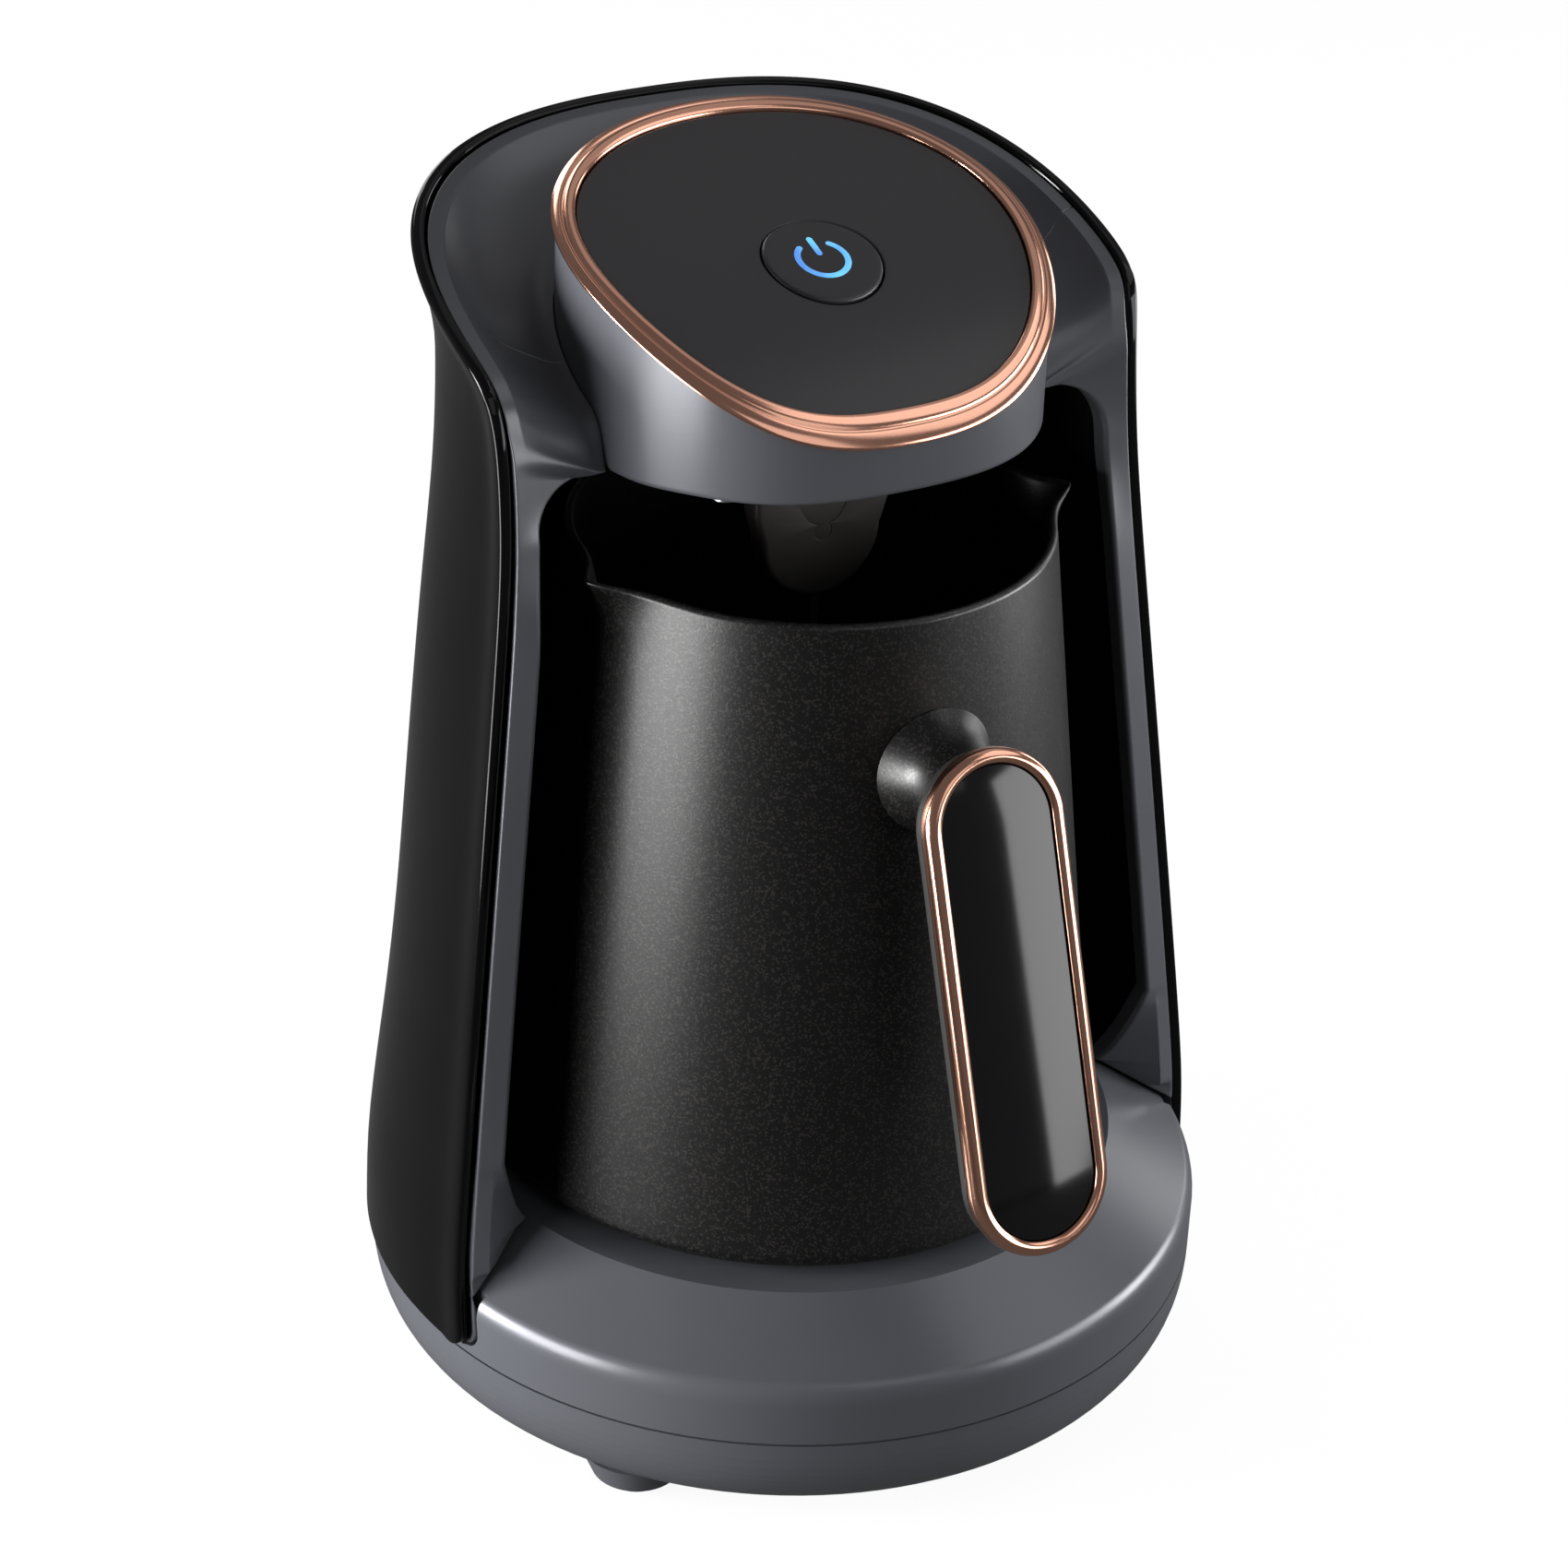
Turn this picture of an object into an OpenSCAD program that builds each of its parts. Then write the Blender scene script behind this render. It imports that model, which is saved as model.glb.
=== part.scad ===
// Electric Turkish coffee maker: a round base with a heating plate, a horseshoe column with a
// flared mantle, a head with a power button, and a tapered pot with two spouts and a strap handle.
// Frame: +Z up, the front is -Y, the origin is on the pot's axis at the level of the feet. Millimetres.

/* [Pot] */
// Outer radius of the pot at its bottom edge
pot_bottom_r = 53.6; // [45:0.2:60]
// Outer radius of the pot at its rim
pot_rim_r = 40.4; // [34:0.2:46]
// Height of the pot without its spouts
pot_h = 113; // [90:1:140]
// Wall of the pot
pot_wall = 1.6; // [1:0.1:2.5]
// How far each spout leans out beyond the rim
spout_out = 6; // [3:0.5:9]
// How far each spout rises above the rim
spout_rise = 0.8; // [0.2:0.2:4]
// How far the spouts are turned from the sides towards the handle, in degrees
spout_turn = 10; // [0:1:20]

/* [Base] */
// Height of the base's top face, where the pot slides in
base_top_z = 42.8; // [36:0.2:50]
// Height of the parting line between the tray and the cover
seam_z = 23.5; // [18:0.5:28]
// Wall of the two base mouldings
base_wall = 2.4; // [1.8:0.1:3.2]
// Height of the tray's floor above the surface
floor_z = 5; // [4:0.1:6]
// Radius of a rubber foot
foot_r = 6.5; // [5:0.5:8]
// Distance of the feet from the axis
foot_ring_r = 56; // [50:1:58]
// Radius of the heating plate
plate_r = 44; // [38:0.5:46]

/* [Column] */
// Gap between the pot and the side of its niche
niche_gap = 13.5; // [8:0.5:18]
// Width of a wing's front edge, mantle and frame together
wing_w = 6.8; // [6:0.2:10]
// Wall of the mantle
mantle_wall = 2.2; // [1.6:0.1:2.8]
// How far the mantle's edge flares out
edge_flare = 1.3; // [0:0.1:2]
// Depth of the column behind the axis
column_depth = 68; // [62:1:76]
// Lean of the wings' front edge, run over rise
edge_lean = 0.0926; // [0.05:0.005:0.15]
// Gap between the back of the niche and the pot's rim circle
back_gap = 5; // [4:0.5:8]

/* [Head] */
// Free height between the pot's rim and the underside of the head
head_gap = 17.6; // [15:0.2:24]
// Height of the button's centre above the underside of the head
head_h = 27.3; // [24:0.1:34]
// Slope of the panel at the button, rise over run
panel_slope = 0.343; // [0.25:0.005:0.4]
// Mean radius of the panel, seen from above
panel_r = 35.2; // [32:0.2:38]
// How much further the panel reaches back than forward
panel_back = 5.64; // [3:0.2:7]
// Width of the metal trim ring
ring_w = 4; // [3:0.1:5]
// Thickness of the panel
panel_t = 2.2; // [1.6:0.1:3]
// Radius of the power button
button_r = 9.9; // [8:0.1:12]
// Travel of the power button
button_travel = 1; // [0.6:0.1:1.4]

/* [Handle] */
// Half width of the handle's bezel
handle_r = 12.5; // [10:0.1:15]
// Distance between the centres of the bezel's two round ends
handle_len = 57.3; // [45:0.5:66]
// Lean of the handle from the vertical, in degrees
handle_lean = 20; // [12:0.5:24]
// Distance from the axis to the bezel's upper end centre
handle_out = 62.5; // [60:0.5:68]
// Thickness of the handle
handle_t = 7; // [6:0.2:9]
// Depth of the spool's axis below the rim
spool_drop = 26; // [22:0.5:34]

/* [Hidden] */

slate = [0.38, 0.39, 0.42];
gloss_black = [0.04, 0.04, 0.05];
matt_black = [0.09, 0.09, 0.09];
rose_gold = [0.86, 0.58, 0.47];
steel = [0.75, 0.76, 0.78];
pcb_green = [0.1, 0.35, 0.2];
pot_black = [0.13, 0.12, 0.12];

// ---- shared sizes ----
seat_gap = 0.2;                 // between pieces that seat on each other
running_gap = 0.05;             // radial, round a pin that turns
plate_z = base_top_z + 1.2;     // top of the heating plate, proud of the cover
pot_z = plate_z + seat_gap;
rim_z = pot_z + pot_h;
ceil_z = rim_z + head_gap;      // underside of the head
head_z = ceil_z + head_h;
waist_z = ceil_z - 10;          // the mantle is straight above this height
flare_z = ceil_z + 10;          // and widens above this one
collar_z = ceil_z + 18.2;       // height of the collar's rim over the axis
collar_slope = 0.285;
collar_blend = 10;              // softness of the corner between wing and collar
shoulder_z = seam_z + 7.5;
tray_in_r = 17.3;               // how far the tray draws in towards its floor

function lerp(a, b, t) = a + (b - a) * t;
function ease(t) = let(u = min(1, max(0, t))) u * u * (3 - 2 * u);
// a ramp that starts softly: 0 well below x = 0 and x well above it
function ramp(x, soft) = (x + sqrt(x * x + soft * soft)) / 2;
function signed_pow(v, p) = sign(v) * pow(abs(v), p);

// ---- the pot's cone, which the niche and the wings follow ----
pot_taper = (pot_bottom_r - pot_rim_r) / pot_h;
wall_taper = pot_taper * 1.11;
waist_r = pot_rim_r + pot_taper * (rim_z - waist_z) + niche_gap + wing_w - edge_flare - 1.2;
// half width of the mantle at height z, without its flared edge
function mantle_r(z) = waist_r + wall_taper * ramp(waist_z - z, 12)
  - wall_taper * ramp(seam_z + 14.5 - z, 8) + 0.17 * ramp(z - flare_z, 6);
// depth of the mantle behind the axis
function mantle_depth(z) = lerp(mantle_r(seam_z), column_depth, ease((z - seam_z) / 70))
  - 0.28 * ramp(z - flare_z - 5, 12);
// the back half grows squarer with height
function squareness(z) = 2 + 0.25 * ease((z - 60) / 90) + 0.2 * ease((z - flare_z) / 15);
// front edge of the wings, leaning, that turns into the collar's rim
function edge_line(z) = -5.1 - edge_lean * (ceil_z + 5.2 - z);
function edge_y(z) = let(q = collar_z - z, f = edge_line(z), p = collar_slope, b = q - p * f)
  (-b + sqrt(b * b + 4 * p * (f * q + collar_blend))) / (2 * p);

base_r = mantle_r(seam_z) - 1;

// a point of the mantle's outer surface at height z and angle t, moved in by inset
function mantle_pt(z, t, inset) =
  let(n = sin(t) > 0 ? squareness(z) : 2, a = mantle_r(z) - inset,
      b = sin(t) > 0 ? mantle_depth(z) - inset : a)
  [a * signed_pow(cos(t), 2 / n), b * signed_pow(sin(t), 2 / n), z];
// the angle at which that surface meets the front edge
function edge_angle(z, y, inset) = y < 0 ? asin(max(-0.9, y / (mantle_r(z) - inset)))
  : asin(pow(min(1, y / (mantle_depth(z) - inset)), squareness(z) / 2));

// Columns of a row across the horseshoe: close together at both edges, where the flare is.
side_cols = 3;
mid_cols = 26;
// distance of a point of the surface from the edge, and how far the flare pushes it out there
function edge_gap(y, z) = abs(y - edge_y(z)) / sqrt(1 + pow(edge_y(z + 0.5) - edge_y(z - 0.5), 2));
function flared(p, amount) =
  let(out = amount * exp(-pow(edge_gap(p.y, p.z) / 4.5, 2)), l = norm([p.x, p.y]))
  [p.x * (1 + out / l), p.y * (1 + out / l), p.z];
// one row of points from the right edge round the back to the left edge
function horseshoe_row(z, y, inset) =
  let(t0 = edge_angle(z, y, inset), span = 180 - 2 * t0,
      d = min(126 / mantle_r(z), span / 12), inner = span - 2 * side_cols * d,
      ts = concat([for (i = [0:side_cols - 1]) t0 + i * d],
                  [for (i = [0:mid_cols]) t0 + side_cols * d + inner * i / mid_cols],
                  [for (i = [side_cols - 1:-1:0]) 180 - t0 - i * d]))
  [for (t = ts) flared(mantle_pt(z, t, inset), edge_flare)];

// A closed skin between two grids of points with the same rows and columns.
module skin(outer, inner, wrap = false) {
  rows = len(outer);
  cols = len(outer[0]);
  n = rows * cols;
  last = wrap ? cols - 1 : cols - 2;
  function at(side, i, j) = side * n + i * cols + j % cols;
  points = concat([for (row = outer) each row], [for (row = inner) each row]);
  faces = concat(
    [for (i = [0:rows - 2], j = [0:last]) each
      [[at(0, i, j), at(0, i + 1, j), at(0, i + 1, j + 1)],
       [at(0, i, j), at(0, i + 1, j + 1), at(0, i, j + 1)],
       [at(1, i, j), at(1, i + 1, j + 1), at(1, i + 1, j)],
       [at(1, i, j), at(1, i, j + 1), at(1, i + 1, j + 1)]]],
    [for (j = [0:last]) each
      [[at(0, 0, j), at(0, 0, j + 1), at(1, 0, j + 1)],
       [at(0, 0, j), at(1, 0, j + 1), at(1, 0, j)],
       [at(0, rows - 1, j), at(1, rows - 1, j), at(1, rows - 1, j + 1)],
       [at(0, rows - 1, j), at(1, rows - 1, j + 1), at(0, rows - 1, j + 1)]]],
    wrap ? [] : [for (i = [0:rows - 2]) each
      [[at(0, i, 0), at(1, i, 0), at(1, i + 1, 0)],
       [at(0, i, 0), at(1, i + 1, 0), at(0, i + 1, 0)],
       [at(0, i, cols - 1), at(1, i + 1, cols - 1), at(1, i, cols - 1)],
       [at(0, i, cols - 1), at(0, i + 1, cols - 1), at(1, i + 1, cols - 1)]]]);
  polyhedron(points, faces, convexity = 8);
}

// A closed solid through a stack of closed rings with the same number of points.
module loft(rings) {
  rows = len(rings);
  cols = len(rings[0]);
  function at(i, j) = i * cols + j % cols;
  polyhedron([for (ring = rings) each ring], concat(
    [for (i = [0:rows - 2], j = [0:cols - 1]) each
      [[at(i, j), at(i + 1, j), at(i + 1, j + 1)], [at(i, j), at(i + 1, j + 1), at(i, j + 1)]]],
    [[for (j = [0:cols - 1]) at(0, j)]],
    [[for (j = [cols - 1:-1:0]) at(rows - 1, j)]]), convexity = 8);
}

// ---- base ----
edge_rx = 2.7;                        // the shoulder is rounded by a quarter of an ellipse
edge_rz = 4.4;
edge_end = 68;                        // the angle at which it meets the slope
cover_edge_r = base_r - edge_rx * (1 - cos(edge_end));
cover_edge_z = shoulder_z + edge_rz * sin(edge_end);
cover_flat_r = pot_bottom_r + 3.4;    // inside this radius the top face is level
function cover_z(r) = r < cover_flat_r ? base_top_z
  : lerp(base_top_z, cover_edge_z, (r - cover_flat_r) / (cover_edge_r - cover_flat_r));
cover_hole_r = plate_r + 1;
tray_floor_r = base_r - tray_in_r;
tray_top_z = seam_z - seat_gap;
cover_low_z = seam_z + seat_gap;
rear_wall_r = mantle_r(seam_z + 6) - mantle_wall - 1.1;    // the cover steps in under the mantle
cover_in_r = rear_wall_r - 2;
screw_r = 1.5;
screw_head_r = 2.9;
screw_ring_r = 53.5;
post_r = 3.6;
wire_slot_y = 62;
foot_turn = 36;                       // angle of the front feet from the side

module at_ring(radius, angles) {
  for (a = angles) translate([radius * cos(a), radius * sin(a), 0]) children();
}
screw_angles = [0, 90, 180, 270];
foot_angles = [-foot_turn, foot_turn + 4, 180 - foot_turn - 4, 180 + foot_turn];

// outline of the tray's wall: it leaves the floor softly and meets the seam upright
tray_steps = 20;
function tray_pt(a) = [tray_floor_r + tray_in_r * pow(sin(a), 1.06),
  floor_z + (tray_top_z - floor_z) * (1 - pow(max(0, cos(a)), 0.72))];
function tray_profile(inset) = [for (i = [0:tray_steps]) let(a = i * 90 / tray_steps,
  along = tray_pt(min(90, a + 1)) - tray_pt(max(0, a - 1)), l = norm(along))
  tray_pt(a) + inset * [-along.y, along.x] / l];

module base_tray() {
  inside = tray_profile(base_wall);
  color(slate) difference() {
    union() {
      rotate_extrude($fn = 96) polygon(concat(
        [[0, floor_z]], tray_profile(0),
        [for (i = [tray_steps:-1:0]) inside[i]],
        [[0, floor_z + base_wall]]));
      // rebate that centres the cover
      rotate_extrude($fn = 96) polygon([[cover_in_r - 1.8, tray_top_z - 5], [base_r - base_wall + 0.1,
        tray_top_z - 3], [base_r - base_wall + 0.1, tray_top_z], [cover_in_r - seat_gap, tray_top_z],
        [cover_in_r - seat_gap, tray_top_z + 2.5], [cover_in_r - 1.8, tray_top_z + 2.5]]);
      at_ring(screw_ring_r, screw_angles) cylinder(r = post_r, h = cover_low_z, $fn = 32);
      at_ring(foot_ring_r, foot_angles) translate([0, 0, socket_z])
        cylinder(r1 = foot_r + 1.2, r2 = foot_r + 3.4, h = floor_z + 2 - socket_z, $fn = 48);
      // posts of the power board
      at_board_corners() translate([0, 0, floor_z + 1])
        cylinder(r = 2.6, h = board_z - floor_z - 1, $fn = 24);
    }
    at_ring(screw_ring_r, screw_angles) {
      translate([0, 0, -1]) cylinder(r = screw_r + 0.2, h = seam_z + 10, $fn = 24);
      translate([0, 0, -1]) cylinder(r = screw_head_r + 0.3, h = floor_z + 4, $fn = 24);
    }
    at_ring(screw_ring_r, screw_angles) translate([0, 0, -6])
      cylinder(r = 8, h = 6 + floor_z, $fn = 24);
    at_ring(foot_ring_r, foot_angles) translate([0, 0, -1])
      cylinder(r = foot_r + seat_gap / 2, h = floor_z + 2.2, $fn = 48);
    at_board_corners() translate([0, 0, on_board - board_screw_l]) cylinder(r = 0.9, h = 40, $fn = 24);
    // port of the cord at the back
    translate([0, base_r - 14, gland_z]) rotate([-90, 0, 0]) cylinder(r = gland_r, h = 30, $fn = 32);
    // vent slots under the board
    for (i = [-3:3]) translate([i * 7 - 1.25, -34, floor_z - 2]) cube([2.5, 22, 8]);
  }
}

gland_r = 5;
gland_z = 13;
board_w = 74;
board_d = 40;
board_y = 22;
board_z = 12;
board_t = 1.6;
on_board = board_z + board_t;
board_screw_l = 7;
socket_z = 1.8;                       // the feet stand this far out of their sockets
module at_board_corners() {
  for (x = [-1, 1], y = [-1, 1])
    translate([x * (board_w / 2 - 4), board_y + y * (board_d / 2 - 4), 0]) children();
}

module base_cover() {
  color(slate) difference() {
    union() {
      rotate_extrude($fn = 96) polygon(concat(
        [[base_r, cover_low_z], [base_r, shoulder_z]],
        [for (i = [1:16]) let(a = i * edge_end / 16)
          [base_r - edge_rx * (1 - cos(a)), shoulder_z + edge_rz * sin(a)]],
        [[cover_flat_r, base_top_z], [cover_hole_r, base_top_z],
         [cover_hole_r, base_top_z - base_wall], [cover_flat_r - 1, base_top_z - base_wall],
         [cover_in_r - 2.6, shoulder_z + 1.4], [cover_in_r, shoulder_z - 1.5],
         [cover_in_r, cover_low_z]]));
      at_ring(screw_ring_r, screw_angles) translate([0, 0, cover_low_z])
        cylinder(r = post_r, h = base_top_z - base_wall / 2 - cover_low_z, $fn = 32);
      // ring that the plate's clamp screws to
      rotate_extrude($fn = 96) translate([cover_hole_r, 0])
        square_between([0, clamp_z], [3, base_top_z - 1]);
    }
    // rear half steps in, so the mantle can slide down over it
    difference() {
      translate([-100, 0, 0]) rotate([90, 0, 90]) linear_extrude(200) polygon(concat(
        [for (i = [0:8]) let(z = lerp(mantle_low_z, mantle_low_z + tip_r, i / 8)) [rim_y(z) - 1.9, z]],
        [[rim_y(60) - 1.9, 60], [100, 60], [100, cover_low_z + 1],
         [rim_y(mantle_low_z) - 1.9, cover_low_z + 1]]));
      translate([0, 0, -1]) cylinder(r = rear_wall_r, h = 100, $fn = 96);
    }
    at_ring(screw_ring_r, screw_angles) translate([0, 0, cover_low_z - 1])
      cylinder(r = screw_r - 0.2, h = 13, $fn = 24);
    translate([-9, wire_slot_y - 3, base_top_z - 12]) cube([18, 6, 20]);
    at_ring(clamp_ring_r, clamp_angles) translate([0, 0, clamp_z - 1])
      cylinder(r = 0.9, h = 3.2, $fn = 16);
  }
}
clamp_ring_r = cover_hole_r + 1.6;
clamp_angles = [45, 165, 285];
module square_between(a, b) { translate(a) square([b.x - a.x, b.y - a.y]); }

module rubber_feet() {
  color([0.12, 0.12, 0.12]) at_ring(foot_ring_r, foot_angles) rotate_extrude($fn = 48)
    polygon([[0, 0], [foot_r - 1, 0], [foot_r, 1], [foot_r, floor_z + 1.1],
      [0, floor_z + 1.1]]);
}

module screw(length, r, head_r, head_h, fn = 24) {
  // a pan-head screw that points up from its seat at z = 0
  cylinder(r = r, h = length, $fn = fn);
  difference() {
    translate([0, 0, -head_h]) cylinder(r = head_r, h = head_h, $fn = fn);
    for (a = [0, 90]) rotate(a) translate([-head_r * 0.55, -0.35, -head_h - 0.1])
      cube([head_r * 1.1, 0.7, head_h * 0.5]);
  }
}

module base_screws() {
  color(steel) at_ring(screw_ring_r, screw_angles) translate([0, 0, floor_z + 3])
    screw(seam_z - floor_z + 7, screw_r - 0.25, screw_head_r, 1.8);
}

module cord_gland() {
  // moulded bush in the tray's port, closed round the place of the cord
  color([0.1, 0.1, 0.1]) translate([0, 0, gland_z]) rotate([-90, 0, 0]) difference() {
    union() {
      translate([0, 0, base_r - 9]) cylinder(r = gland_r - 0.1, h = 10, $fn = 32);
      translate([0, 0, base_r + seat_gap]) cylinder(r = gland_r + 1.6, h = 1.6, $fn = 32);
      translate([0, 0, base_r - 11]) cylinder(r = gland_r - 0.1, h = 3, $fn = 32);
    }
    translate([0, 0, base_r - 20]) cylinder(r = 3, h = 40, $fn = 32);
  }
}

plate_h = 3;
module heating_plate() {
  // die-cast plate with a rim that rests in the cover's hole and a centre hole for the sensor
  color([0.24, 0.24, 0.25]) rotate_extrude($fn = 96) polygon([[sensor_r + 0.6, plate_z - plate_h],
    [plate_r, plate_z - plate_h], [plate_r, plate_z - 0.6], [plate_r - 0.6, plate_z],
    [sensor_r + 1.2, plate_z], [sensor_r + 0.6, plate_z - 0.6]]);
}

sensor_r = 7;
module heating_element() {
  // horseshoe of tubular heater clenched to the plate's underside, with two cold ends
  tube_r = 3.2;
  ring_r = plate_r - 12;
  z = plate_z - plate_h - tube_r;
  color(steel) {
    translate([0, 0, z]) rotate([0, 0, 105]) rotate_extrude(angle = 330, $fn = 64)
      translate([ring_r, 0]) circle(r = tube_r, $fn = 20);
    for (a = [105, 75]) rotate(a) translate([ring_r, 0, z - 9]) cylinder(r = tube_r, h = 9, $fn = 20);
  }
}

clamp_z = plate_z - plate_h - 1.2;
spring_z = on_board + 9;              // the lower end of the sensor's spring
strap_x = plate_r - 3;
module plate_clamp() {
  // pressed bridge that holds the plate up against the cover
  color(steel) difference() {
    union() {
      translate([0, 0, clamp_z - 1]) difference() {
        cylinder(r = clamp_ring_r + 2.4, h = 1, $fn = 72);
        translate([0, 0, -1]) cylinder(r = plate_r - 5, h = 4, $fn = 72);
      }
      for (a = clamp_angles) rotate(a + 60) translate([plate_r - 6, -4, clamp_z - 1])
        cube([4, 8, 2.2 - seat_gap]);
      // strap with the seat of the sensor's spring
      for (x = [-strap_x, strap_x]) translate([x - 0.6, -4, spring_z - 2.2])
        cube([1.2, 8, clamp_z - spring_z + 1.7]);
      translate([-strap_x, -4, spring_z - 2.2]) cube([2 * strap_x, 8, 1.2]);
      translate([0, 0, spring_z - 2.2]) cylinder(r = 6, h = 2, $fn = 32);
    }
    at_ring(clamp_ring_r, clamp_angles) translate([0, 0, clamp_z - 4])
      cylinder(r = 1.2, h = 8, $fn = 16);
  }
}

module plate_screws() {
  color(steel) at_ring(clamp_ring_r, clamp_angles) translate([0, 0, clamp_z - 1])
    screw(3, 0.85, 2, 1.2, 16);
}

module temperature_sensor() {
  // capsule that its spring presses against the pot's bottom
  color([0.8, 0.8, 0.8]) translate([0, 0, plate_z - 9]) {
    cylinder(r = sensor_r - 1.2, h = 9 - 0.1, $fn = 40);
    cylinder(r = sensor_r + 1.6, h = 1.2, $fn = 40);
  }
}

module sensor_spring() {
  // coil under the capsule, seated on the clamp's strap
  wire = 0.5;
  turns = 4;
  coil_r = 4.6;
  high = plate_z - 9 - 0.3;
  n = 96;
  pts = [for (i = [0:n]) let(a = i * 360 * turns / n) [coil_r * cos(a), coil_r * sin(a),
    lerp(spring_z, high - wire, i / n) + wire / 2]];
  color(steel) tube(pts, wire, 6);
}

// round tube along a list of points
module tube(path, r, sides) {
  last = len(path) - 1;
  loft([for (i = [0:last]) let(
      d = path[min(last, i + 1)] - path[max(0, i - 1)], t = d / norm(d),
      side = abs(t.z) > 0.9 ? [1, 0, 0] : [0, 0, 1],
      u0 = cross(t, side), u = u0 / norm(u0), v = cross(t, u))
    [for (k = [0:sides - 1]) let(a = 360 * k / sides) path[i] + r * (cos(a) * u + sin(a) * v)]]);
}

module thermal_fuse() {
  // cut-out in its clip on the plate's underside
  color([0.85, 0.82, 0.75]) translate([-16, 12, plate_z - plate_h - 3 - 0.1])
    rotate([0, 90, 35]) cylinder(r = 3, h = 12, $fn = 24);
}

module power_board() {
  color(pcb_green) difference() {
    translate([-board_w / 2, board_y - board_d / 2, board_z]) cube([board_w, board_d, board_t]);
    at_board_corners() translate([0, 0, board_z - 1]) cylinder(r = 1.2, h = 4, $fn = 16);
  }
}

module board_screws() {
  color(steel) at_board_corners() translate([0, 0, on_board]) rotate([180, 0, 0])
    screw(board_screw_l, 0.85, 2.2, 1.4, 16);
}

module relay() { color([0.1, 0.25, 0.5]) translate([-28, board_y - 9, on_board]) cube([19, 15, 15]); }
module capacitor() {
  color([0.15, 0.15, 0.35]) translate([-16, board_y + 13, on_board]) cylinder(r = 5, h = 14, $fn = 32);
}
module terminal_block() {
  color([0.2, 0.5, 0.3]) translate([12, board_y - 16, on_board]) difference() {
    cube([18, 9, 10]);
    for (i = [0:2]) translate([3.5 + i * 5.5, -1, 4.5]) rotate([-90, 0, 0])
      cylinder(r = 1.7, h = 6, $fn = 16);
  }
}
module buzzer() {
  color(gloss_black) translate([20, board_y + 6, on_board]) difference() {
    cylinder(r = 6, h = 8, $fn = 32);
    translate([0, 0, 5]) cylinder(r = 1, h = 4, $fn = 16);
  }
}

// ---- column ----
top_z = collar_z + collar_slope * mantle_depth(collar_z + 17) - 0.5;   // rim at the very back
low_rows = 9;
high_rows = 14;
mantle_low_z = seam_z + 1 + 2 * seat_gap;
tip_r = 3.6;                          // rounding of the wings' tips at the foot
mantle_rows = concat(
  [for (h = [0, 0.08, 0.3, 0.6]) mantle_low_z + h * tip_r],
  [for (i = [0:low_rows]) lerp(mantle_low_z + tip_r, ceil_z + 4, pow(i / low_rows, 0.9))],
  [for (i = [1:high_rows]) lerp(ceil_z + 4, top_z, 1 - pow(1 - i / high_rows, 1.15))]);
function tip_back(z) = let(d = max(0, tip_r + mantle_low_z - z))
  tip_r - sqrt(max(0, tip_r * tip_r - d * d));
function rim_y(z) = min(edge_y(z) + tip_back(z), mantle_depth(z) - 0.6);

module mantle() {
  color(gloss_black) skin(
    [for (z = mantle_rows) horseshoe_row(z, rim_y(z), 0)],
    [for (z = mantle_rows) horseshoe_row(z, rim_y(z), mantle_wall)]);
}

// the frame and the liner share the line where the wing's flat front ends
frame_t = 3.5;                        // depth of the frame's bar behind its front face
frame_dish_t = 2.4;                   // thickness of its dish
liner_wall = 1.6;
function pot_r(z) = pot_rim_r + pot_taper * (rim_z - z);
function niche_r(z) = mantle_r(z) + edge_flare - wing_w;
function niche_back(z) = pot_r(z) + back_gap;
function niche_edge_y(z) = edge_line(z) - 1.6 + 1.6 * ease((z - waist_z + 20) / 20);
// a row of the niche's wall, from the right front edge round the back
function niche_row(z, y, grow) = let(a = niche_r(z) + grow, b = niche_back(z) + grow,
    t0 = sign(y) * asin(pow(abs(y) / (y < 0 ? a : b), 1 / 0.95)))
  [for (i = [0:28]) let(t = t0 + (180 - 2 * t0) * i / 28)
    [a * signed_pow(cos(t), 0.95), (t < 0 || t > 180 ? a : b) * signed_pow(sin(t), 0.95), z]];
liner_low_z = base_top_z + seat_gap + 0.1;
module niche_liner() {
  rows = [for (i = [0:10]) lerp(liner_low_z, ceil_z - seat_gap, i / 10)];
  // the lowest row follows the cover's slope
  function settle(row) = [for (p = row) [p.x, p.y, cover_z(norm([p.x, p.y])) + seat_gap + 0.1]];
  function front(z) = inner_pt(z).y + frame_t + 0.9;
  function wall(grow) = concat([settle(niche_row(rows[0], front(rows[0]), grow))],
    [for (z = rows) niche_row(z, front(z), grow)]);
  color(gloss_black) skin(wall(liner_wall), wall(0));
}

// ---- head ----
function head_r(a) = panel_r + panel_back * sin(a) + 1.61 * cos(2 * a) + 0.15 * sin(3 * a)
  - 0.74 * cos(4 * a);
function head_at(a, e) = [(head_r(a) + e) * cos(a), (head_r(a) + e) * sin(a)];
// height of the panel's surface: it curves up towards the back
function panel_h(y) = head_z + panel_slope * y - 0.00481 * y * y + 0.0000939 * y * y * y;
head_cols = 60;
function head_ring(e, lift) = [for (i = [0:head_cols - 1]) let(p = head_at(i * 360 / head_cols, e))
  [p.x, p.y, panel_h(p.y) + lift]];
module head_outline(e) { polygon([for (i = [0:head_cols - 1]) head_at(i * 360 / head_cols, e)]); }
button_lean = atan(panel_slope);
module on_panel(depth = 0) {
  translate([0, 0, head_z]) rotate([button_lean, 0, 0]) translate([0, 0, -depth]) children();
}
band_in = 1.9;
band_out = ring_w - 0.8;
ring_low = -0.8;

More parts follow.
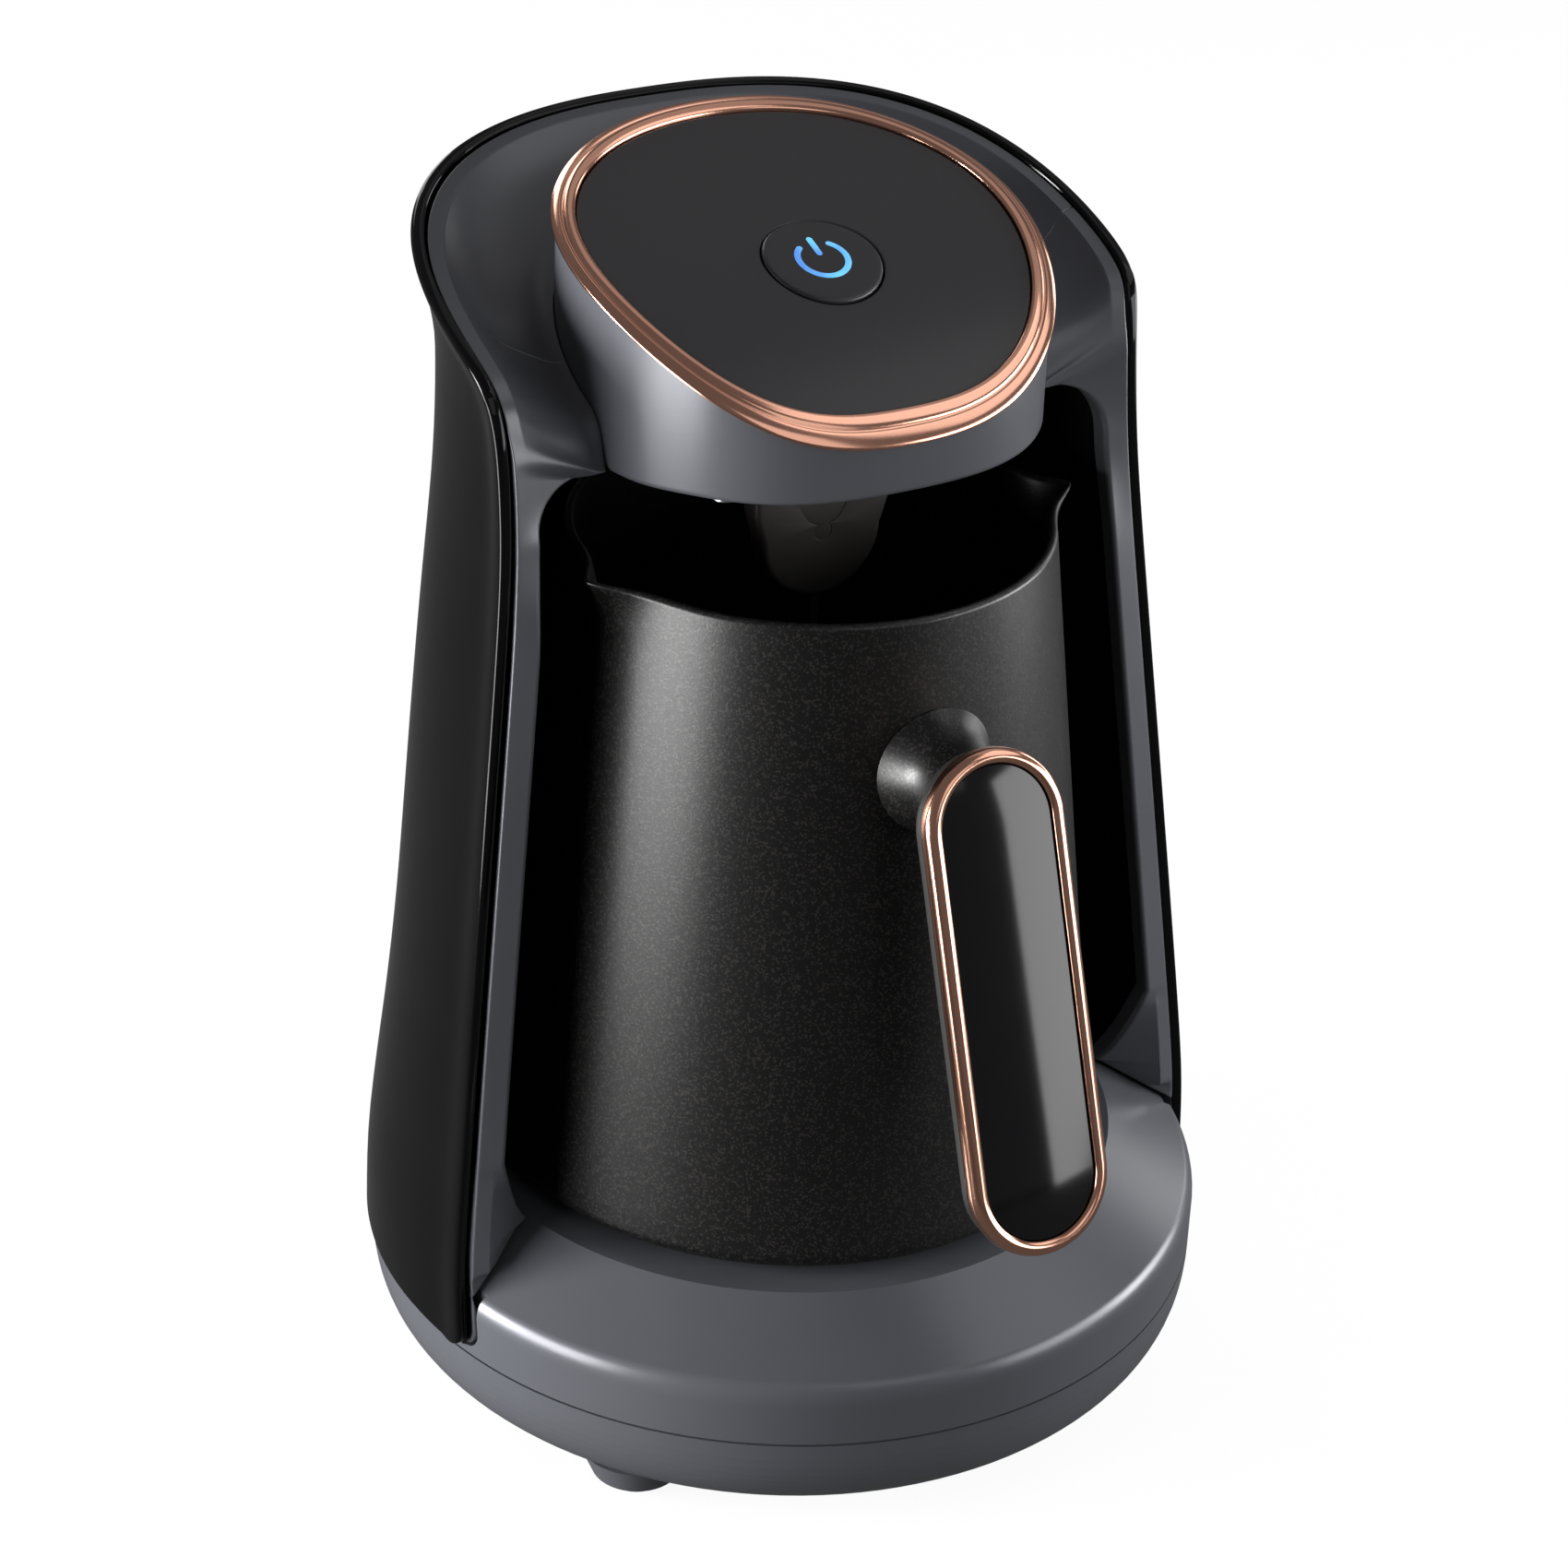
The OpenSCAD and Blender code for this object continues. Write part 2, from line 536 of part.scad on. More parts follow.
// one station of the frame: its front points from the lip to the inner edge, then the back ones
front_cols = 7;
valley_rise = 0.45;
corner_r = 8;                         // rounding of the niche's upper corners
corner_top = ceil_z - 1.4;
corner_z = corner_top - corner_r;
corner_end = corner_z + 12;
strip_w = 3;                          // flat border of the flange and the collar, next to the mantle
foot_top = base_top_z + 16;           // the wings widen below this height
function valley_pt(a) = let(p = head_at(a, band_out + seat_gap))
  [p.x, p.y, ceil_z + 2.4 + valley_rise * (p.y + 8)];
function lip_pt(z) = let(inset = mantle_wall + seat_gap,
    p = flared(mantle_pt(z, edge_angle(z, rim_y(z), inset), inset), edge_flare))
  [p.x, rim_y(z) - 0.9 * ease((ceil_z + 12 - z) / 8), z - 0.5 * ease((z - ceil_z) / 10)];
// the inner edge of the wing's front, from the niche's side
function wing_pt(z) = let(y = niche_edge_y(z), r = niche_r(z)) [sqrt(r * r - y * y), y, z];
function inner_pt(z) =
  z < base_top_z + 0.3 ? let(k = max(0, (z - cover_edge_z) / (base_top_z - cover_edge_z)),
      lip = lip_pt(z), r = z < shoulder_z + 2 ? norm([lip.x, lip.y]) - 1.2
        : lerp(cover_edge_r, cover_flat_r, k) + 1.4,
      y = lerp(lip.y - 0.3, -12, pow(k, 1.2)))
    [sqrt(r * r - y * y), y, z]
  : z < foot_top ? let(w = wing_pt(foot_top), k = pow((z - base_top_z) / 16, 0.6))
    [lerp(cover_flat_r * cos(12), w.x, k), lerp(-12, w.y, k), z]
  : z < corner_z ? wing_pt(z)
  : z < corner_end ? let(a = 90 * (z - corner_z) / 12, w = wing_pt(corner_z))
    [sqrt(pow(niche_r(corner_z), 2) - pow(lerp(w.y, -2.6, a / 90), 2)) - corner_r * (1 - cos(a)),
     lerp(w.y, -2.6, a / 90), corner_z + corner_r * sin(a)]
  : let(p = lip_pt(z), k = ease((z - corner_end) / 6), v = valley_pt(atan2(p.y, p.x)),
      low = lerp(corner_top, v.z, ease((z - corner_end - 6) / 9)),
      c = [sqrt(pow(niche_r(corner_z), 2) - 6) - corner_r, -2.6, corner_top])
    lerp(c, [v.x, v.y, low], k);
// where the flat border ends: the wings' border goes straight down to the base
function crease_pt(z, p, q) = z < foot_top ? let(w = wing_pt(max(z, cover_edge_z)))
    w.x > q.x + 0.4 ? lerp(p, [w.x, w.y, z], 0.8) : lerp(p, q, 0.5)
  : lerp(p, q, min(0.8, strip_w / norm(p - q)));
function frame_station(z) = let(p = lip_pt(z), q = inner_pt(z), c = crease_pt(z, p, q),
    up = ease((z - ceil_z - 5) / 14), depth = lerp(frame_t, 0.5, up), drop = lerp(0, frame_dish_t, up),
    level = up * 0.75 * (p.z - c.z),
    face = [p, for (i = [1:front_cols]) let(k = (i - 1) / (front_cols - 1), m = lerp(c, q, k))
      [m.x, m.y, m.z + level * (1 - k) * (1 - k) - up * 2.2 * sin(180 * k) * (1 - k)]])
  concat(face, [for (i = [front_cols:-1:0]) let(m = face[i], y = lerp(q.y, m.y, up) + depth,
      in = 1 - 0.9 * (1 - i / front_cols) / norm([m.x, y])) [m.x * in, y * in, m.z - drop]]);
frame_rows = concat([for (h = [0.3, 0.6]) mantle_low_z + h * tip_r],
  [for (i = [0:7]) lerp(mantle_low_z + tip_r, base_top_z + 0.2, i / 7)],
  [for (i = [1:4]) base_top_z + i * 4], [for (i = [1:8]) lerp(base_top_z + 16, corner_z, i / 8)],
  [for (i = [1:7]) corner_z + i * 12 / 7],
  [for (i = [1:22]) lerp(corner_end, top_z - 0.4, 1 - pow(1 - i / 22, 1.3))]);
function mirrored(row) = [for (p = row) [-p.x, p.y, p.z]];

module column_frame() {
  right = [for (z = frame_rows) frame_station(z)];
  top = [for (p = right[len(right) - 1]) [0, p.y + 0.4, p.z + 0.1]];
  color(slate) loft(concat(right, [top], [for (i = [len(right) - 1:-1:0]) mirrored(right[i])]));
}

module head_shell() {
  // low in front, where it shows down to the niche, and cut higher where the dish meets it
  function foot(e) = [for (p = head_ring(e, 0)) [p.x, p.y, ceil_z - 0.5 - 0.9 * ease((p.y + 20) / 14)
    + 4 * ease((p.y + 2.5) / 3) + 6 * ease((p.y - 25) / 8)]];
  color(slate) union() {
    skin([foot(band_out), head_ring(band_out, ring_low - seat_gap)],
         [foot(band_in), head_ring(band_in, ring_low - seat_gap)], wrap = true);
    // bosses that the head's floor screws to
    for (a = floor_screw_angles) hull() {
      translate(concat(head_at(a, band_in - 2.6), [ceil_z + 3])) cylinder(r = 2.6, h = 6, $fn = 20);
      translate(concat(head_at(a, band_in + 0.1), [ceil_z + 3])) cylinder(r = 1, h = 8, $fn = 8);
    }
  }
}
floor_screw_angles = [30, 150, 215, 325];

floor_t = 1.6;
module head_floor() {
  color(matt_black) difference() {
    union() {
      translate([0, 0, ceil_z]) linear_extrude(floor_t) head_outline(band_in - seat_gap);
      translate([0, 0, ceil_z]) linear_extrude(floor_t)
        polygon([for (p = niche_row(ceil_z, 1.4, 1.4)) [p.x, p.y]]);
    }
    for (a = floor_screw_angles) translate(concat(head_at(a, band_in - 2.6), [ceil_z - 1]))
      cylinder(r = 1.3, h = 4, $fn = 20);
    translate([-8, 30, ceil_z - 1]) cube([16, 6, 5]);
  }
}
module head_floor_screws() {
  color(steel) for (a = floor_screw_angles) translate(concat(head_at(a, band_in - 2.6), [ceil_z]))
    screw(floor_t + 1.2, 1, 2.2, 1.2, 20);
}

// ---- sensor flap under the head ----
flap_z = ceil_z - 4.8;                // the flap's pivot
flap_y = -1.5;
flap_t = 5;
flap_w = 25;
flap_low = rim_z - 12.7;              // the tongue hangs into the pot's mouth
flap_tip_r = 11;
pin_r = 1;
ear_x = 15;
module along_x(x) { translate([x, flap_y, flap_z]) rotate([0, 90, 0]) children(); }
module hinge_bracket() {
  color(matt_black) difference() {
    union() {
      for (s = [-1, 1]) {
        translate([s * ear_x - 1.2, flap_y - 3, flap_z]) cube([2.4, 6, ceil_z - flap_z - seat_gap]);
        along_x(s * ear_x - 1.2) cylinder(r = 3, h = 2.4, $fn = 32);
      }
    }
    along_x(-ear_x - 3) cylinder(r = pin_r + 0.02, h = 2 * ear_x + 6, $fn = 32);
  }
}
module flap_pin() {
  color(steel) along_x(-ear_x - 1.6) cylinder(r = pin_r, h = 2 * ear_x + 3.2, $fn = 32);
}
module sensor_flap() {
  tip_z = flap_low + flap_tip_r;
  color(matt_black) difference() {
    union() {
      translate([0, flap_y + flap_t / 2, 0]) rotate([90, 0, 0]) linear_extrude(flap_t)
        polygon(concat([[flap_w / 2, flap_z], [flap_w / 2, tip_z + 5]],
          [for (a = [0:-10:-180]) [flap_tip_r * cos(a), tip_z + flap_tip_r * sin(a)]],
          [[-flap_w / 2, tip_z + 5], [-flap_w / 2, flap_z]]));
      along_x(-flap_w / 2) cylinder(r = flap_t / 2 + 0.4, h = flap_w, $fn = 40);
    }
    along_x(-ear_x) cylinder(r = pin_r + running_gap, h = 2 * ear_x, $fn = 32);
    translate([0, flap_y, flap_low - 1]) cylinder(r = probe_r + 0.02, h = 12, $fn = 24);
  }
}
probe_r = 1;
module sensor_probe() {
  // sensing pin pressed into the flap, with a rounded tip
  color(steel) translate([0, flap_y, flap_low - 6]) {
    sphere(r = probe_r, $fn = 24);
    cylinder(r = probe_r, h = 16, $fn = 24);
  }
}

// ---- panel, ring and button ----
module panel_slab(e, low, high) {
  intersection() {
    translate([0, 0, ceil_z]) linear_extrude(60) head_outline(e);
    translate([-60, 0, 0]) rotate([90, 0, 90]) linear_extrude(120)
      polygon(concat([for (y = [-36:6:48]) [y, panel_h(y) + low]],
        [for (y = [48:-6:-36]) [y, panel_h(y) + high]]));
  }
}
post_spots = [[-20, 14], [20, 14], [-17, -17], [17, -17]];
board_depth = 12;
module panel() {
  color(gloss_black) difference() {
    union() {
      panel_slab(-0.15, -panel_t, 0);
      // flange that the ring holds down
      difference() {
        panel_slab(band_in - seat_gap, ring_low - 2.2, ring_low - seat_gap);
        panel_slab(-3, -20, 0);
      }
      for (s = post_spots) on_panel(board_depth) translate([s.x, s.y, 0])
        cylinder(r = 2.4, h = board_depth - 1.8 + (s.y > 0 ? -0.9 : -1.4), $fn = 24);
    }
    on_panel(8) cylinder(r = button_r + 0.2, h = 16, $fn = 72);
    for (s = post_spots) on_panel(board_depth + 1) translate([s.x, s.y, 0])
      cylinder(r = 0.9, h = 7, $fn = 16);
  }
}
module trim_ring() {
  color(rose_gold) skin(
    [head_ring(ring_w, ring_low), head_ring(ring_w, -0.3), head_ring(ring_w - 0.3, 0.15),
     head_ring(ring_w - 0.9, 0.4), head_ring(ring_w - 1.5, 0.5), head_ring(ring_w - 1.6, 0.8)],
    [head_ring(0, ring_low), head_ring(0, -0.3), head_ring(0, 0.1), head_ring(0, 0.5),
     head_ring(0.1, 0.7), head_ring(0.3, 0.8)], wrap = true);
}
cap_proud = 0.5;
cap_t = 3.6;
icon_r = 4.15;
stroke = 1.05;
module icon(grow, h) {
  // generic on-off sign: an open circle and a bar
  rotate([0, 0, 130]) rotate_extrude(angle = 280, $fn = 48) translate([icon_r - stroke / 2 - grow, 0])
    square([stroke + 2 * grow, h]);
  translate([-stroke / 2 - grow, 1.4 - grow, 0]) cube([stroke + 2 * grow, 4.1 + 2 * grow, h]);
}
module button_cap() {
  color(gloss_black) on_panel() difference() {
    union() {
      translate([0, 0, cap_proud - cap_t]) cylinder(r = button_r, h = cap_t, $fn = 72);
      translate([0, 0, cap_proud - cap_t - 1]) cylinder(r = button_r + 1.2, h = 0.8, $fn = 72);
      translate([0, 0, cap_proud - cap_t - 1]) cylinder(r = 3, h = 1, $fn = 32);
      translate([0, 0, switch_top + button_travel + 0.15]) cylinder(r = 1.6, h = 6, $fn = 24);
    }
    translate([0, 0, cap_proud - 0.7]) icon(0.02, 3);
  }
}
module button_lens() {
  color([0.35, 0.7, 0.95]) on_panel() translate([0, 0, cap_proud - 0.7]) icon(0, 0.7);
}
board_top = -board_depth;
switch_top = board_top + 4;
module tact_switch() {
  color([0.2, 0.2, 0.2]) on_panel() {
    translate([-3, -3, board_top]) cube([6, 6, 3.4]);
    translate([0, 0, board_top]) cylinder(r = 1.7, h = 4, $fn = 24);
  }
}
module button_spring() {
  // coil between the board and the cap, round the switch
  wire = 0.35;
  turns = 3;
  n = 72;
  low = board_top + 0.1;
  high = cap_proud - cap_t - 1.1;
  color(steel) on_panel() tube([for (i = [0:n]) let(a = 360 * turns * i / n)
    [5.4 * cos(a), 5.4 * sin(a), lerp(low + wire, high - wire, i / n)]], wire, 6);
}
module control_board() {
  color(pcb_green) on_panel() difference() {
    translate([-24, -21, board_top - board_t]) cube([48, 40, board_t]);
    for (s = post_spots) translate([s.x, s.y, board_top - 3]) cylinder(r = 1.2, h = 4, $fn = 16);
  }
}
module control_board_screws() {
  color(steel) on_panel() for (s = post_spots) translate([s.x, s.y, board_top - board_t])
    screw(6, 0.85, 2, 1.2, 16);
}

module wiring_harness() {
  // sleeve of wires from the power board up the column into the head
  y0 = wire_slot_y;
  y1 = niche_back(ceil_z) + 8;
  path = [[10, board_y + 14, on_board + 4], [9, 49, on_board + 4], [6, y0 - 4, 24], [5, y0, 32],
    [4, y0 + 0.8, 46], [0, lerp(y0, y1, 0.5), 95], [0, y1, 140], [0, y1, ceil_z - 6],
    [0, y1 - 3, ceil_z + 5], [0, 36, ceil_z + 5], [0, 26, ceil_z + 6]];
  smooth = [for (i = [0:len(path) - 2], k = [0:3]) let(t = k / 4,
      a = path[max(0, i - 1)], b = path[i], c = path[i + 1], d = path[min(len(path) - 1, i + 2)])
    0.5 * (2 * b + (c - a) * t + (2 * a - 5 * b + 4 * c - d) * t * t
      + (3 * b - a - 3 * c + d) * t * t * t)];
  color([0.6, 0.15, 0.12]) tube(smooth, 1.9, 10);
}

// ---- pot ----
// angles of the pot's columns: close together at the spouts, wider apart between them
function between_spouts(from, span, n) =
  [for (i = [0:n - 1]) let(t = i / n) from + span * (t - 0.5 * sin(360 * t) / 2 / PI)];
pot_angles = concat(between_spouts(-spout_turn, 180 + 2 * spout_turn, 34),
  between_spouts(180 + spout_turn, 180 - 2 * spout_turn, 28));
// 1 in the middle of a spout and 0 away from it
function spout_k(a) = let(d = min(abs(a + spout_turn), abs(a - 180 - spout_turn),
    abs(a - 360 + spout_turn))) max(0, exp(-pow(d / 7.5, 1.5)) - 0.02);
spout_h = 11;
function pot_ring(z, grow) = [for (a = pot_angles) let(s = spout_k(a),
    k = max(0, (z - rim_z + spout_h) / spout_h), r = pot_r(z) + grow + s * spout_out * k * k)
  [r * cos(a), r * sin(a), z + s * spout_rise * k]];
pot_steps = 9;
pot_rows = [for (i = [0:pot_steps]) lerp(pot_z + 3, rim_z - 0.8, 1 - pow(1 - i / pot_steps, 1.8))];
module pot_body() {
  color(pot_black) difference() {
    loft(concat(
      [pot_ring(pot_z, -2.2), pot_ring(pot_z + 0.5, -1), pot_ring(pot_z + 1.4, -0.3)],
      [for (z = pot_rows) pot_ring(z, 0)],
      [pot_ring(rim_z - 0.25, -0.15), pot_ring(rim_z, -0.5), pot_ring(rim_z, 0.5 - pot_wall),
       pot_ring(rim_z - 0.25, 0.15 - pot_wall)],
      [for (i = [pot_steps:-1:0]) pot_ring(pot_rows[i], -pot_wall)],
      [pot_ring(pot_z + pot_wall + 0.8, -pot_wall - 0.6), pot_ring(pot_z + pot_wall, -pot_wall - 3)]));
    spool_axis() cylinder(r = screw_bore, h = 80, $fn = 24);
  }
}
spool_z = rim_z - spool_drop;
screw_bore = 2;
module spool_axis() { translate([0, 0, spool_z]) rotate([90, 0, 0]) children(); }
spool_in = pot_r(spool_z) + 0.35;     // length from the pot's axis to the spool's flange
screw_seat = handle_out - 6.2 * cos(handle_lean);
spool_end = handle_out - handle_t * cos(handle_lean) - 1.8;
module spool() {
  // waisted stem; its flange is cut to the pot's cone
  l = spool_end - spool_in;
  color(pot_black) difference() {
    spool_axis() rotate_extrude($fn = 64) polygon(concat(
      [[1.3, spool_in - 3], [10.5, spool_in - 3], [10.5, spool_in + 0.8]],
      [for (i = [1:8]) let(k = i / 8)
        [7.2 + 3.3 * pow(1 - k, 3) + 0.9 * k * k * k, spool_in + 0.8 + (l - 0.8) * k]],
      [[1.3, spool_end]]));
    cylinder(r1 = pot_r(0) + seat_gap, r2 = pot_r(rim_z) + seat_gap, h = rim_z, $fn = 144);
  }
}
module on_handle(depth = 0) {
  translate([0, -handle_out, spool_z - 0.6]) rotate([-handle_lean, 0, 0])
    translate([0, depth, 0]) children();
}
module racetrack(r, d0, d1) {
  // straight sides and round ends, from depth d0 to depth d1 behind the face
  translate([0, d1, 0]) rotate([90, 0, 0]) linear_extrude(d1 - d0) polygon(concat(
    [for (a = [0:7.5:180]) [r * cos(a), r * sin(a)]],
    [for (a = [180:7.5:360]) [r * cos(a), r * sin(a) - handle_len]]));
}
module handle_core() {
  color(matt_black) difference() {
    union() {
      on_handle() racetrack(handle_r - 0.6, 3.2, handle_t - 1);
      on_handle() racetrack(handle_r - 1.8, 3.2, handle_t);
    }
    spool_axis() cylinder(r = 8.3, h = spool_end + seat_gap, $fn = 48);
    spool_axis() cylinder(r = 1.9, h = 90, $fn = 24);
    spool_axis() translate([0, 0, screw_seat]) cylinder(r = 3.4, h = 20, $fn = 32);
  }
}
bezel_w = 2.5;
module handle_bezel() {
  color(rose_gold) on_handle() difference() {
    union() {
      racetrack(handle_r - 0.5, 0, 1);
      racetrack(handle_r, 0.5, 3);
    }
    racetrack(handle_r - bezel_w, -1, 5);
  }
}
module handle_inlay() {
  color(gloss_black) on_handle() racetrack(handle_r - bezel_w - seat_gap / 2, 0.5, 3);
}
module handle_screw() {
  color(steel) spool_axis() translate([0, 0, screw_seat]) rotate([180, 0, 0])
    screw(screw_seat - spool_in + 1, 1.25, 3, 1.2);
}

base_tray();
base_cover();
rubber_feet();
base_screws();
cord_gland();
heating_plate();
heating_element();
plate_clamp();
plate_screws();
temperature_sensor();
sensor_spring();
thermal_fuse();
power_board();
relay();
capacitor();
terminal_block();
buzzer();
board_screws();
mantle();
column_frame();
niche_liner();
head_shell();
head_floor();
head_floor_screws();
wiring_harness();
hinge_bracket();
flap_pin();
sensor_flap();
sensor_probe();
panel();
trim_ring();
button_cap();
button_lens();
button_spring();
tact_switch();
control_board();
control_board_screws();
pot_body();
spool();
handle_core();
handle_bezel();
handle_inlay();
handle_screw();
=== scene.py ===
import math

import bmesh
import bpy
import numpy as np
from mathutils import Matrix, Vector


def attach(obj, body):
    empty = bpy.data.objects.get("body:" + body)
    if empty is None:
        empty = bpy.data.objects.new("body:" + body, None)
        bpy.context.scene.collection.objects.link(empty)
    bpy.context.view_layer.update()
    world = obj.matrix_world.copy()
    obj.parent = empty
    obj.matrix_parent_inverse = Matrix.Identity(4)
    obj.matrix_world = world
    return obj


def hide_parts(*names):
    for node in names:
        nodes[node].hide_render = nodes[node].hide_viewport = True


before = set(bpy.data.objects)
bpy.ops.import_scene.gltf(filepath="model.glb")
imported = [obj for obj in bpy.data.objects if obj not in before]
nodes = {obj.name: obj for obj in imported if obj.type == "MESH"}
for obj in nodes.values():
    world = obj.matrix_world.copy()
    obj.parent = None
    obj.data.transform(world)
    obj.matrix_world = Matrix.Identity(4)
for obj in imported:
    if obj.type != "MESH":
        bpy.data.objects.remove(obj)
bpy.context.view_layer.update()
MM = 0.001

# ---- Camera ----
# A long lens looks down on the front from its left and is rolled a little. It is aimed at a point
# at half the height, and the shift keeps the object's place in the square picture.
aim = Vector((0.0, 6.7, 120.0)) * MM
camera_turn = math.radians(-29.887)
camera_rise = math.radians(27.833)
camera_roll = math.radians(2.40)
camera_distance = 713.83 * MM

back = Vector((math.sin(camera_turn) * math.cos(camera_rise),
               -math.cos(camera_turn) * math.cos(camera_rise), math.sin(camera_rise)))
right = Vector((math.cos(camera_turn), math.sin(camera_turn), 0.0))
up = back.cross(right)
rolled_right = math.cos(camera_roll) * right + math.sin(camera_roll) * up
rolled_up = -math.sin(camera_roll) * right + math.cos(camera_roll) * up
camera = bpy.data.objects.new("camera", bpy.data.cameras.new("camera"))
bpy.context.scene.collection.objects.link(camera)
camera.data.sensor_width = 36.0
camera.data.lens = 96.91
camera.data.shift_x = 0.00054
camera.data.shift_y = -0.05451
camera.data.clip_start = 0.05
camera.data.clip_end = 20.0
turned = Matrix((rolled_right, rolled_up, back)).transposed().to_4x4()
camera.matrix_world = Matrix.Translation(aim + back * camera_distance) @ turned
bpy.context.scene.camera = camera

# ---- Studio ----
# A pale floor that keeps the object's shadow, under a sky that is white to the camera. Soft lamps
# low at both sides draw the long highlights, and weak ones stand in front, above and behind.
floor_half = 6.0
floor_seen, sky_seen, gloss_seen = 0.8, 1.0, 0.04
floor_mesh = bpy.data.meshes.new("studio_floor")
floor_mesh.from_pydata([(-floor_half, -floor_half, 0), (floor_half, -floor_half, 0),
                        (floor_half, floor_half, 0), (-floor_half, floor_half, 0)],
                       [], [(0, 1, 2, 3)])
studio_floor = bpy.data.objects.new("studio_floor", floor_mesh)
bpy.context.scene.collection.objects.link(studio_floor)


def set_sockets(node, values):
    """Sets a node's unlinked inputs from a table of their names."""
    for socket, value in values.items():
        node.inputs[socket].default_value = value


def wire(tree, *links):
    """Joins node sockets: each link is a node and its output, then a node and its input."""
    for start, output, end, entry in links:
        tree.links.new(start.outputs[output], end.inputs[entry])


def seen_share(tree, to_camera):
    """A node with the share of a backdrop's own white that a ray sees: to_camera times Is Camera
    Ray, plus gloss_seen times the larger of Is Glossy Ray and Is Transmission Ray."""
    rays = tree.nodes.new("ShaderNodeLightPath")
    either, mirrored, seen = [tree.nodes.new("ShaderNodeMath") for _ in range(3)]
    either.operation, mirrored.operation, seen.operation = "MAXIMUM", "MULTIPLY", "MULTIPLY_ADD"
    set_sockets(mirrored, {1: gloss_seen})
    set_sockets(seen, {1: to_camera})
    wire(tree, (rays, "Is Glossy Ray", either, 0), (rays, "Is Transmission Ray", either, 1),
         (either, 0, mirrored, 0), (rays, "Is Camera Ray", seen, 0), (mirrored, 0, seen, 2))
    return seen


floor_paint = bpy.data.materials.new("floor_paint")
floor_paint.use_nodes = True
floor_tree = floor_paint.node_tree
floor_diffuse = floor_tree.nodes["Principled BSDF"]
floor_shade = floor_tree.nodes.new("ShaderNodeMix")
floor_shade.data_type = "RGBA"
floor_glow = floor_tree.nodes.new("ShaderNodeEmission")
floor_mix = floor_tree.nodes.new("ShaderNodeMixShader")
floor_ray = seen_share(floor_tree, floor_seen)
set_sockets(floor_diffuse, {"Roughness": 0.9, "Specular IOR Level": 0.0})
set_sockets(floor_shade, {"A": (0.05, 0.05, 0.05, 1), "B": (0.8, 0.8, 0.8, 1)})
set_sockets(floor_glow, {"Strength": 1.14})
wire(floor_tree, (floor_ray, 0, floor_shade, "Factor"), (floor_ray, 0, floor_mix, "Fac"),
     (floor_shade, "Result", floor_diffuse, "Base Color"), (floor_diffuse, 0, floor_mix, 1),
     (floor_glow, 0, floor_mix, 2), (floor_mix, 0, floor_tree.nodes["Material Output"], "Surface"))
floor_mesh.materials.append(floor_paint)

world = bpy.data.worlds.new("studio")
bpy.context.scene.world = world
world.use_nodes = True
sky_tree = world.node_tree
sky = sky_tree.nodes["Background"]
white_sky = sky_tree.nodes.new("ShaderNodeBackground")
sky_mix = sky_tree.nodes.new("ShaderNodeMixShader")
set_sockets(sky, {"Color": (0.36, 0.36, 0.38, 1), "Strength": 0.3})
set_sockets(white_sky, {"Strength": 1.0})
wire(sky_tree, (seen_share(sky_tree, sky_seen), 0, sky_mix, "Fac"), (sky, 0, sky_mix, 1),
     (white_sky, 0, sky_mix, 2), (sky_mix, 0, sky_tree.nodes["World Output"], "Surface"))


def soft_lamp(name, turn, rise, distance, width, height, power):
    """A rectangular lamp on a sphere round the object, aimed at its middle: turn degrees to the
    right of the front, rise degrees up. Lengths are in metres and the power in watts."""
    data = bpy.data.lights.new(name, "AREA")
    data.shape = "RECTANGLE"
    data.size, data.size_y, data.energy = width, height, power
    lamp = bpy.data.objects.new(name, data)
    bpy.context.scene.collection.objects.link(lamp)
    turn, rise = math.radians(turn), math.radians(rise)
    way = Vector((math.sin(turn) * math.cos(rise), -math.cos(turn) * math.cos(rise),
                  math.sin(rise)))
    middle = Vector((0, 0, 0.1))
    lamp.location = middle + way * distance
    lamp.rotation_mode = "QUATERNION"
    lamp.rotation_quaternion = (-way).to_track_quat("-Z", "Y")
    lamp.visible_camera = False


soft_lamp("lamp_left", -111, 4, 1.1, 0.3, 0.45, 18.0)
soft_lamp("lamp_left_low", -86, 0, 0.45, 0.25, 0.2, 2.3)
soft_lamp("lamp_right", 54, 8, 1.2, 1.1, 0.5, 9.8)
soft_lamp("lamp_right_low", 75, 2, 0.6, 0.3, 0.2, 1.7)
soft_lamp("lamp_right_back", 105, 12, 1.2, 0.3, 0.6, 1.7)
soft_lamp("lamp_right_high", 62, 50, 1.2, 0.8, 0.6, 1.6)
soft_lamp("lamp_front", 5, 34, 1.2, 0.6, 0.6, 0.85)
soft_lamp("lamp_top", 118, 58, 1.2, 1.0, 0.7, 0.55)
soft_lamp("lamp_back", 176, 24, 1.3, 0.3, 1.0, 3.0)
bpy.context.scene.view_settings.view_transform = "Standard"

# ---- Base ----
# The tray and the cover are moulded in slate plastic with a fine satin grain and meet in a
# parting line. Four rubber feet carry them, and a bush at the back closes the cord's port.


def new_finish(name):
    """An empty material: its node tree, its shader and a node with the object's coordinates."""
    finish = bpy.data.materials.new(name)
    finish.use_nodes = True
    tree = finish.node_tree
    return finish, tree, tree.nodes["Principled BSDF"], tree.nodes.new("ShaderNodeTexCoord")


